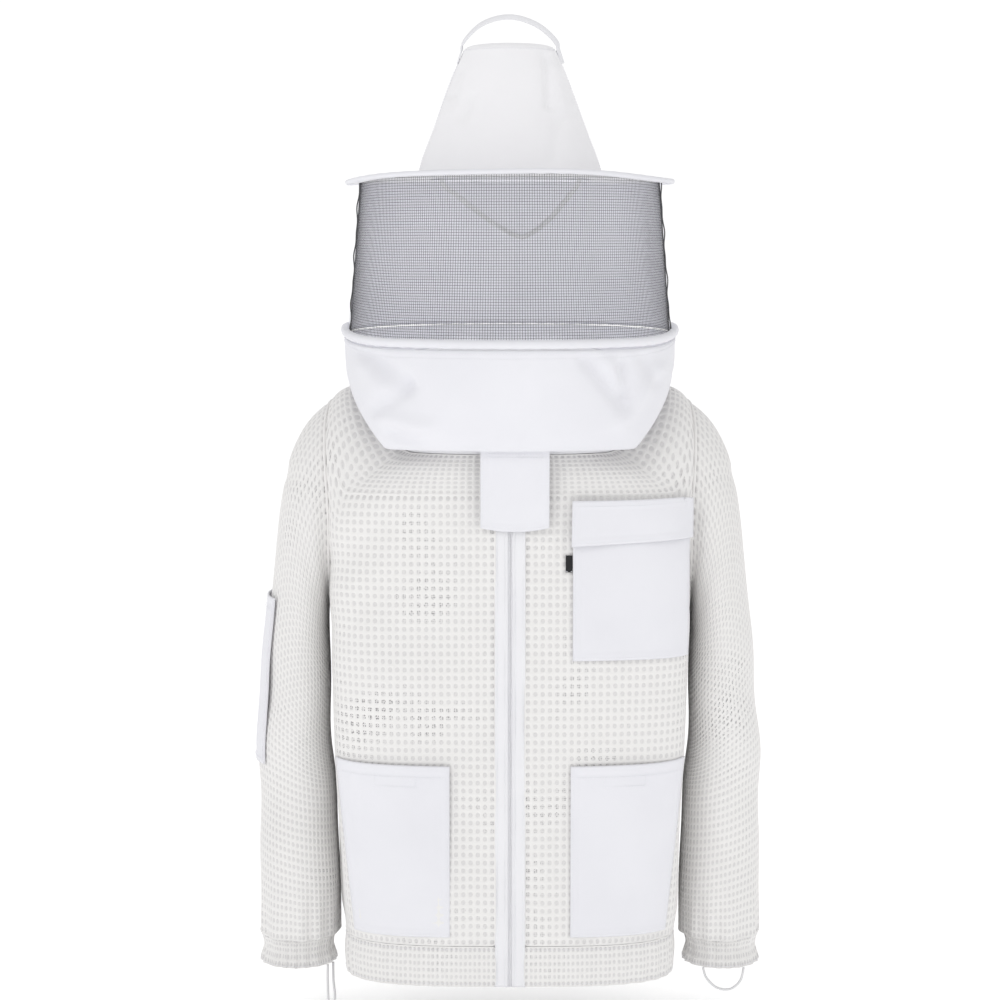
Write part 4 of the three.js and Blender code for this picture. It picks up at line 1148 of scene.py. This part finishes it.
grid = clothGrid(pocketSurface, np.linspace(0, 1, 50), np.linspace(0, 1, 90), step=1e-3)
u, v = grid["turn"] * grid["across"][-1], grid["along"] * grid["down"][-1]
edge = np.minimum(np.minimum(u, grid["across"][-1] - u), np.minimum(v, grid["down"][-1] - v))
facing = 1 if float(grid["normals"][len(u) // 2][0]) < 0 else -1
grid["normals"] = grid["normals"] * facing
if facing < 0:
    grid["faces"], grid["corners"] = grid["faces"][:, ::-1], grid["corners"][:, ::-1]
lift = 2.6 + 0.9 * np.clip(edge / 20, 0, 1) + 0.4 * np.sin(v * 0.06)
sleevePatch = shell(
    "sleevePocket", grid, lift, lift + 1.3 + 0.7 / (1 + np.exp((edge - 8) / 0.7)), "cottonTwill",
)
settle(sleevePatch, "right_sleeve", "cotton", "sleeve_pocket")
for level in (0.03, 0.93):
    us = np.linspace(0.04, 0.96, 40)
    points = pocketSurface(us, np.full_like(us, level))
    stitch("right_sleeve", points + normalsOf(pocketSurface, us, np.full_like(us, level)) * facing * 5.6)
for level in (0.035, 0.965):
    vs = np.linspace(0.03, 0.97, 60)
    points = pocketSurface(np.full_like(vs, level), vs)
    stitch("right_sleeve", points + normalsOf(pocketSurface, np.full_like(vs, level), vs) * facing * 5.4)
print("pockets sewn")

# Hood skirt: out from the neck zip, down into a fold, then up to the hoop
skirtRows = [
    {"z": 31.9, "frontZ": -40.1, "backZ": 57.9, "half": 147, "front": 132, "back": 102, "squareness": 2.4},
    {
        "z": 28, "frontZ": -47, "backZ": 57, "half": 168, "front": 148, "back": 107, "squareness": 2.4,
        "rise": 1.5,
    },
    {
        "z": 25, "frontZ": -52, "backZ": 60, "half": 193, "front": 162, "back": 116, "squareness": 2.4,
        "rise": 1.9,
    },
    {
        "z": 34, "frontZ": -39, "backZ": 63, "half": 198, "front": 173, "back": 130, "squareness": 2.4,
        "rise": 1.9, "middle": -12,
    },
    {
        "z": 47, "frontZ": -5, "backZ": 65, "half": 200, "front": 184, "back": 158, "squareness": 2.3,
        "rise": 1.6, "middle": -8,
    },
    {
        "z": 63, "frontZ": 38, "backZ": 71, "half": 201, "front": 197, "back": 192, "squareness": 2.1,
        "rise": 1.3, "middle": -3,
    },
    {"z": 78.7, "frontZ": 66.7, "backZ": 82.7, "half": 201.5, "front": 201.5, "back": 201.5, "middle": 0},
]
# Each fold runs from one X,Z to another across the front: width and depth in millimetres
skirtFolds = [
    {"from": (-172, 66), "to": (-122, 24), "width": 11, "depth": -5.5},
    {"from": (-122, 24), "to": (-158, -6), "width": 9, "depth": -4.5},
    {"from": (-150, 20), "to": (-168, 44), "width": 14, "depth": 3.5},
    {"from": (-150, -14), "to": (-96, -24), "width": 10, "depth": 3.5},
    {"from": (-140, -30), "to": (-110, -44), "width": 7, "depth": -3.5},
    {"from": (88, 60), "to": (134, 2), "width": 10, "depth": -5.5},
    {"from": (133, 50), "to": (138, 12), "width": 7, "depth": -5.0},
    {"from": (112, 52), "to": (126, 26), "width": 8, "depth": 3.0},
    {"from": (160, 58), "to": (172, 28), "width": 9, "depth": -3.5},
    {"from": (176, 40), "to": (130, -20), "width": 9, "depth": 3.0},
    {"from": (-60, 8), "to": (50, -4), "width": 26, "depth": 1.8},
]


def segmentDistance(x, z, start, end):
    start, end = np.array(start, float), np.array(end, float)
    way = end - start
    share = np.clip(((x - start[0]) * way[0] + (z - start[1]) * way[1]) / (way @ way), 0, 1)
    return np.hypot(x - start[0] - share * way[0], z - start[1] - share * way[1])


def foldField(points, folds, front):
    x, z = points[..., 0], points[..., 2]
    total = np.zeros(x.shape)
    for fold in folds:
        total += fold["depth"] * np.exp(
            -((segmentDistance(x, z, fold["from"], fold["to"]) / fold["width"]) ** 2)
        )
    return total * front


def skirtDrape(points, turn, along):
    angle = 2 * math.pi * turn
    outer = np.clip((along - 2.1) / 0.8, 0, 1) * np.clip((6 - along) / 0.5, 0, 1)
    front = np.clip(-points[..., 1] / 60, 0, 1)
    back = 1 - front
    ripple = back * (1.7 * np.sin(17 * angle + 0.05 * points[..., 2]) + 1.2 * np.sin(9 * angle))
    gather = 0.5 * np.sin(47 * angle + 2 * np.sin(5 * angle)) * near(along, 5.7, 0.35)
    return (foldField(points, skirtFolds, front) * 1.5 + ripple + gather - 0.8) * outer


skirt = lofted(skirtRows)
skirtAlongs = evenSteps(lambda a: skirt(np.full_like(a, 0.75), a), 0, 6, 4.2)
grid = clothGrid(skirt, np.linspace(0, 1, 241), skirtAlongs, loop=True, drape=skirtDrape)
skirtPiece = settle(shell("hoodSkirt", grid, -1.8, 0, "cottonTwill"), "hood", "cotton", "hood_skirt")
turn = np.linspace(0, 1, 400)
for level in (5.86, 5.66):
    along = np.full_like(turn, level)
    points = skirt(turn, along)
    stitch("hood", points + normalsOf(skirt, turn, along) * (skirtDrape(points, turn, along) + 0.25)[:, None])

# Hoop in its casing
hoop = {"radius": 200.5, "tube": 5.3, "side": 86, "front": 74, "back": 90}
hoopRow = {
    "z": hoop["side"], "frontZ": hoop["front"], "backZ": hoop["back"], "half": 200.5, "front": 200.5,
    "back": 200.5, "middle": 0,
}
turn = np.linspace(0, 1, 360, endpoint=False)
casing = tubeAlong(
    "hoopCasing", loopPoint(hoopRow, turn), hoop["tube"] + 0.25 * np.sin(turn * 2 * math.pi * 61),
    "cottonTwill", sides=14, loop=True,
)
settle(casing, "hood", "cotton", "hoop_casing")

# Veil: dark open net in front, white cotton behind, dark seams between
veilRows = [
    {"z": 83, "frontZ": 71, "backZ": 87, "half": 195.6, "front": 195.6, "back": 195.6, "middle": 0},
    {"z": 261.5, "frontZ": 268.0, "backZ": 267.5, "half": 182, "front": 182, "back": 182, "middle": 0},
]
veil = lofted(veilRows)
veilNet = {"pitch": 3.0, "radius": 0.22, "right": 0.526, "left": 0.974, "cover": 0.42}


def veilDrape(points, turn, along):
    angle = 2 * math.pi * turn
    slack = np.sin(np.clip(along, 0, 1) * math.pi)
    front = np.sin((turn - veilNet["right"]) / (veilNet["left"] - veilNet["right"]) * math.pi)
    return slack * (1.6 * np.sin(9 * angle + 2 * along) - 2.0) * np.clip(front * 3, 0, 1)


def veilBackDrape(points, turn, along):
    x = points[..., 0]
    crease = -4.5 * near(x, 6, 5) + 3.0 * near(x, 18, 9) - 3 * near(x, -70, 16) + 2.0 * near(x, 74, 16)
    low = 2.5 * np.sin(points[..., 0] * 0.06) * near(along, 0.12, 0.15)
    return (crease * (points[..., 1] > 0) + low) * np.sin(np.clip(along, 0, 1) * math.pi) ** 0.5


def veilLine(turn, along, lift=0.0):
    points = veil(turn, along)
    return points + normalsOf(veil, turn, along) * (veilDrape(points, turn, along) + lift)[:, None]


turns = evenSteps(
    lambda t: veil(t, np.full_like(t, 0.5)), veilNet["right"], veilNet["left"], veilNet["pitch"],
)
alongs = np.linspace(0.0, 1.0, round(185 / veilNet["pitch"]) + 1)
uprights = [veilLine(np.full(9, t), np.linspace(0, 1, 9)) for t in turns]
rounds = [veilLine(np.linspace(veilNet["right"], veilNet["left"], 70), np.full(70, a), 0.25) for a in alongs]
veilFront = grown(
    "veilFront", linesPiece("veilLines", uprights + rounds), yarnTree, "veilYarn",
    Yarn_Radius=veilNet["radius"] * metre,
)
settle(veilFront, "hood", "veil_net", "veil_front")
grid = clothGrid(
    veil, np.linspace(veilNet["left"] - 1, veilNet["right"], 150), np.linspace(0, 1, 50),
    drape=veilBackDrape,
)
veilBack = settle(shell("veilBack", grid, -1.4, 0, "cottonTwill"), "hood", "cotton", "veil_back")
for side in ("right", "left"):
    along = np.linspace(0.03, 0.99, 60)
    points = veil(np.full_like(along, veilNet[side]), along)
    normals = normalsOf(veil, np.full_like(along, veilNet[side]), along)
    line = points + normals * (1.0 + 0.5 * np.sin(along * 40))[:, None]
    line[:, 0] += 0.7 * np.sin(along * 21)
    way = np.cross(normals[0], [0, 0, 1.0])
    seamPiece = strapAlong(f"veilSeam{side.title()}", line, way, 5.0, 1.2, "veilYarn")
    settle(seamPiece, "hood", "veil_net", f"veil_seam_{side}")
print("veil hung")

# Hat: brim with a bound edge, crown in one shell, sweatband and loop; brim and crown wear a lighter copy of
# the jacket's twill as painted light
hat = {"brimZ": 270, "head": 96, "base": 112, "edge": 193.3, "top": 57, "height": 148, "thickness": 4}


def brimDroop(y, radius):
    share = np.maximum(0, (radius - hat["base"]) / (200 - hat["base"]))
    return (np.maximum(0, -y / radius) ** 2 * 9 + np.maximum(0, y / radius) ** 2 * 8 - 6) * share


def brimSurface(turn, along):
    angle = turn * 2 * math.pi
    radius = between(hat["edge"], hat["head"], along)
    x, y = radius * np.cos(angle), radius * np.sin(angle)
    z = hat["brimZ"] + brimDroop(y, radius)
    wave = 0.8 * np.sin(5 * angle + 1) * np.clip((radius - 120) / 70, 0, 1)
    return np.stack([x, y, z + wave], axis=-1)


brimRings = {"from": 118, "to": 188, "count": 8}


def brimQuilt(points, turn, along):
    radius = np.hypot(points[..., 0], points[..., 1])
    gap = (brimRings["to"] - brimRings["from"]) / (brimRings["count"] - 1)
    apart = np.abs(((radius - brimRings["from"]) / gap + 0.5) % 1 - 0.5) * gap
    return -0.7 * np.exp(-((apart / 1.6) ** 2)) * (radius > brimRings["from"] - 4)


grid = clothGrid(brimSurface, np.linspace(0, 1, 181), np.linspace(0, 1, 60), loop=True, drape=brimQuilt)
settle(shell("hatBrim", grid, -hat["thickness"] + 0.2, 0, "hatTwillPaintedLight"), "hood", "cotton", "hat_brim")
turn = np.linspace(0, 1, 300)
for radius in np.linspace(brimRings["from"], brimRings["to"], brimRings["count"]):
    along = np.full_like(turn, (hat["edge"] - radius) / (hat["edge"] - hat["head"]))
    ring = brimSurface(turn, along)
    stitch("hood", ring + np.array([0, 0, -0.35]))
    stitch("hood", ring - np.array([0, 0, hat["thickness"] + 0.25]))
turn = np.linspace(0, 1, 300, endpoint=False)
angle = turn * 2 * math.pi
ring = brimSurface(turn, np.zeros_like(turn))
outward = np.stack([np.cos(angle), np.sin(angle), np.zeros_like(angle)], axis=-1)
binding = tubeAlong(
    "brimBinding", ring + outward * 3.1 - np.array([0, 0, 2.0]), 3.2 + 0.15 * np.sin(angle * 53),
    "cottonTwill", sides=12, loop=True,
)
settle(binding, "hood", "cotton", "brim_binding")
turn = np.linspace(0, 1, 300)
stitch("hood", brimSurface(turn, np.full_like(turn, 0.012)) + np.array([0, 0, 0.5]))

crownProfile = np.array(
    [
        (113.5, 269.9), (110.2, 276), (106.3, 289.5), (93, 324), (79.6, 360), (67, 393), (57.6, 414),
        (54.5, 420.5), (48, 424.6), (30, 427.0), (12, 427.6), (0.4, 427.6),
    ],
    float,
)
crownFolds = [
    {"from": (44, 408), "to": (46, 352), "width": 6, "depth": -3.2},
    {"from": (56, 396), "to": (62, 350), "width": 7, "depth": 2.0},
    {"from": (-62, 396), "to": (-70, 366), "width": 7, "depth": -2.6},
    {"from": (-50, 360), "to": (-56, 340), "width": 8, "depth": -2.4},
    {"from": (-70, 340), "to": (-66, 300), "width": 9, "depth": 1.8},
    {"from": (58, 330), "to": (52, 290), "width": 9, "depth": -2.0},
    {"from": (30, 390), "to": (24, 340), "width": 16, "depth": 1.2},
]


def crownSurface(turn, along):
    turn, along = np.broadcast_arrays(np.asarray(turn, float), np.asarray(along, float))
    profile = np.repeat(crownProfile[:, None], along.size, axis=1)
    line = curveThrough(profile, along.ravel()).reshape(along.shape + (2,))
    angle = turn * 2 * math.pi
    return np.stack([line[..., 0] * np.cos(angle), line[..., 0] * np.sin(angle), line[..., 1]], axis=-1)


def crownDrape(points, turn, along):
    low = np.clip(along / 1.0, 0, 1) * np.clip((8.5 - along) / 2, 0, 1)
    creases = sum(near(((turn - t + 0.5) % 1) - 0.5, 0, 0.004) for t in (0.0, 0.25, 0.5))
    seams = -1.0 * creases * np.clip(11 - along, 0, 1)
    front = np.clip(-points[..., 1] / 20, 0, 1)
    back = 1.2 * np.sin(7 * 2 * math.pi * turn + points[..., 2] * 0.03) * (points[..., 1] > 0)
    return (foldField(points, crownFolds, front) * 1.5 + back) * low + seams


crownAlongs = evenSteps(lambda a: crownSurface(np.full_like(a, 0.2), a), 0, len(crownProfile) - 1, 3.2)
grid = clothGrid(crownSurface, np.linspace(0, 1, 161), crownAlongs, loop=True, drape=crownDrape)
crown = shell("hatCrown", grid, -2.6, 0, "hatTwillPaintedLight")
turnOutward(crown, weld=0.0009)
settle(crown, "hood", "cotton", "hat_crown", "crown_top")
turn = np.linspace(0, 1, 240)
for level in (0.35, 0.9, 6.7):
    along = np.full_like(turn, level)
    points = crownSurface(turn, along)
    stitch(
        "hood",
        points + normalsOf(crownSurface, turn, along) * (crownDrape(points, turn, along) + 0.3)[:, None],
    )
for turnAt in (0.0, 0.25, 0.5):
    for shift in (-0.0065, 0.0065):
        along = np.linspace(0.9, 9.5, 60)
        turn = np.full_like(along, turnAt + shift)
        points = crownSurface(turn, along)
        stitch(
            "hood",
            points + normalsOf(crownSurface, turn, along) * (crownDrape(points, turn, along) + 0.25)[:, None],
        )


def bandSurface(turn, along):
    angle = turn * 2 * math.pi
    radius = hat["head"] - 0.6 + 0 * along
    return np.stack(
        [radius * np.cos(angle), radius * np.sin(angle), between(264.3, 295.8, along) + 0 * angle], axis=-1,
    )


grid = clothGrid(bandSurface, np.linspace(0, 1, 121), np.linspace(0, 1, 12), loop=True)
sweatband = settle(shell("hatBand", grid, -1.4, 0, "cottonTwill"), "hood", "cotton", "sweatband")
loopRoute = [
    (-63.4, 0, 404.6), (-58.7, 0, 419.6), (-56.7, 0, 428.6), (-34, 0, 451.4), (0, 0, 460.0), (34, 0, 449.7),
    (56.7, 0, 428.6), (58.7, 0, 419.6), (63.4, 0, 404.6),
]
crownLoop = strapAlong("crownLoop", smoothLine(loopRoute, 10), (0.25, 0.75, 0.9), 8.0, 2.0, "zipTape")
settle(crownLoop, "hood", "tape", "crown_loop")
print("hat made")

# Neck tab over the place where the zips meet
tab = {
    "right": -35, "left": 46, "topZ": -50.5, "length": 93, "topY": -151, "bottomY": -139,
    "across": 81, "down": 95, "hem": 7,
}


def tabSurface(turn, along):
    x = between(tab["right"], tab["left"], turn)
    bow = 5 * (1 - (2 * turn - 1) ** 2)
    drop = 1 - along
    return np.stack(
        [
            x, -between(-tab["topY"], -tab["bottomY"], drop) + 0 * x,
            tab["topZ"] - drop * (tab["length"] + bow),
        ],
        axis=-1,
    )


grid = clothGrid(tabSurface, np.linspace(0, 1, 50), np.linspace(0, 1, 56))
u, v = grid["turn"] * tab["across"], grid["along"] * tab["down"]
edge = np.minimum(np.minimum(u, tab["across"] - u), v)
lift = 0.6 * np.sin(grid["turn"] * 7 + 1) * (1 - grid["along"]) + 0.5 * np.sin(grid["along"] * 6)
tabPiece = shell(
    "neckTab", grid, lift - 1.8, lift + 0.7 / (1 + np.exp((edge - tab["hem"]) / 0.7)), "cottonTwill",
)
settle(tabPiece, "neck_tab", "cotton", "neck_tab")
for ends in (
    ((2.6, 3), (2.6, 92)), ((78.4, 3), (78.4, 92)), ((2.6, 3), (78.4, 3)), ((2.6, 86), (78.4, 86)),
    ((2.6, 90), (78.4, 90)),
):
    line = np.linspace(*ends, 24)
    us, vs = line[:, 0] / tab["across"], line[:, 1] / tab["down"]
    extra = 0.6 * np.sin(us * 7 + 1) * (1 - vs) + 0.5 * np.sin(vs * 6)
    stitch("neck_tab", tabSurface(us, vs) + normalsOf(tabSurface, us, vs) * (extra + 0.8)[:, None])
hookGrid = clothGrid(tabSurface, np.linspace(0.06, 0.94, 26), np.linspace(0.08, 0.44, 14))
hooks = settle(
    shell("tabHooks", hookGrid, -3.2, -2.5, "touchFastener"), "neck_tab", "touch_fastener", "tab_hook_patch",
)

# Every row of stitches, one piece for each body
stitchSize = {"pitch": 0.0034, "bead": (0.00038, 0.00038, 0.00125)}
for bodyName, lines in stitchLines.items():
    piece = grown(f"stitches_{bodyName}", linesPiece(f"lines_{bodyName}", lines), beadTree, "sewingThread",
                  Pitch=stitchSize["pitch"], Bead_Size=stitchSize["bead"])
    settle(piece, bodyName, "cotton")
print("stitched")

# Hard parts keep their CAD shape and take a finish
for node, finish in (
    ("front_zip_slider", "zipCoil"), ("front_zip_pull", "pullPlastic"), ("neck_zip_slider", "zipCoil"),
    ("hoop_wire", "wireSteel"),
):
    kept = bpy.data.objects[node]
    kept.data.materials.clear()
    kept.data.materials.append(materials[finish])

# Pale floor and soft light
room = {"floorZ": -0.775, "size": 60.0, "floorGlow": 0.4, "key": 15.5, "fill": 5, "hood": 0.42, "sky": 0.75}
floorMesh = bpy.data.meshes.new("floor")
half = room["size"]
floorMesh.from_pydata(
    [
        (-half, -half, room["floorZ"]), (half, -half, room["floorZ"]), (half, half, room["floorZ"]),
        (-half, half, room["floorZ"]),
    ],
    [], [(0, 1, 2, 3)],
)
floor = bpy.data.objects.new("floor", floorMesh)
scene.collection.objects.link(floor)
floorFinish = bpy.data.materials.new("paleFloor")
floorFinish.use_nodes = True
floorShader = floorFinish.node_tree.nodes["Principled BSDF"]
floorShader.inputs["Base Color"].default_value = (0.92, 0.92, 0.92, 1)
floorShader.inputs["Roughness"].default_value = 0.9
floorShader.inputs["Emission Color"].default_value = (1, 1, 1, 1)
floorShader.inputs["Emission Strength"].default_value = room["floorGlow"]
floorMesh.materials.append(floorFinish)
floor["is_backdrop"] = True

world = bpy.data.worlds.new("studio")
world.use_nodes = True
scene.world = world
sky = world.node_tree
background = sky.nodes["Background"]
background.inputs["Color"].default_value = (1, 1, 1, 1)
seen = addNode(sky, "ShaderNodeLightPath").outputs["Is Camera Ray"]
strength = addNode(sky, "ShaderNodeMapRange", {"Value": seen, "To Min": room["sky"], "To Max": 1.05})
sky.links.new(strength.outputs["Result"], background.inputs["Strength"])


def softLight(name, place, aim, size, power):
    data = bpy.data.lights.new(name, "AREA")
    data.shape = "DISK"
    data.size = size
    data.energy = power
    lamp = bpy.data.objects.new(name, data)
    lamp.location = place
    way = np.array(aim) - np.array(place)
    flatReach = math.hypot(way[0], way[1])
    lamp.rotation_euler = (math.atan2(flatReach, -way[2]), 0, math.atan2(way[1], way[0]) - math.pi / 2)
    scene.collection.objects.link(lamp)


softLight("keyLight", (-2.0, -2.6, 2.0), (0, 0, -0.1), 1.4, room["key"])
softLight("fillLight", (2.4, -2.2, 1.0), (0, 0, -0.1), 1.6, room["fill"])
softLight("backLight", (0.4, 2.8, 2.2), (0, 0, 0.0), 1.6, room["fill"])
# A weak lamp in the hood stands for the daylight that thin white cotton lets in
glow = bpy.data.lights.new("hoodGlow", "POINT")
glow.energy = room["hood"]
glow.shadow_soft_size = 0.07
glowLamp = bpy.data.objects.new("hoodGlow", glow)
glowLamp.location = (0, 0, 0.17)
scene.collection.objects.link(glowLamp)
scene.view_settings.view_transform = "Standard"

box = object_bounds()
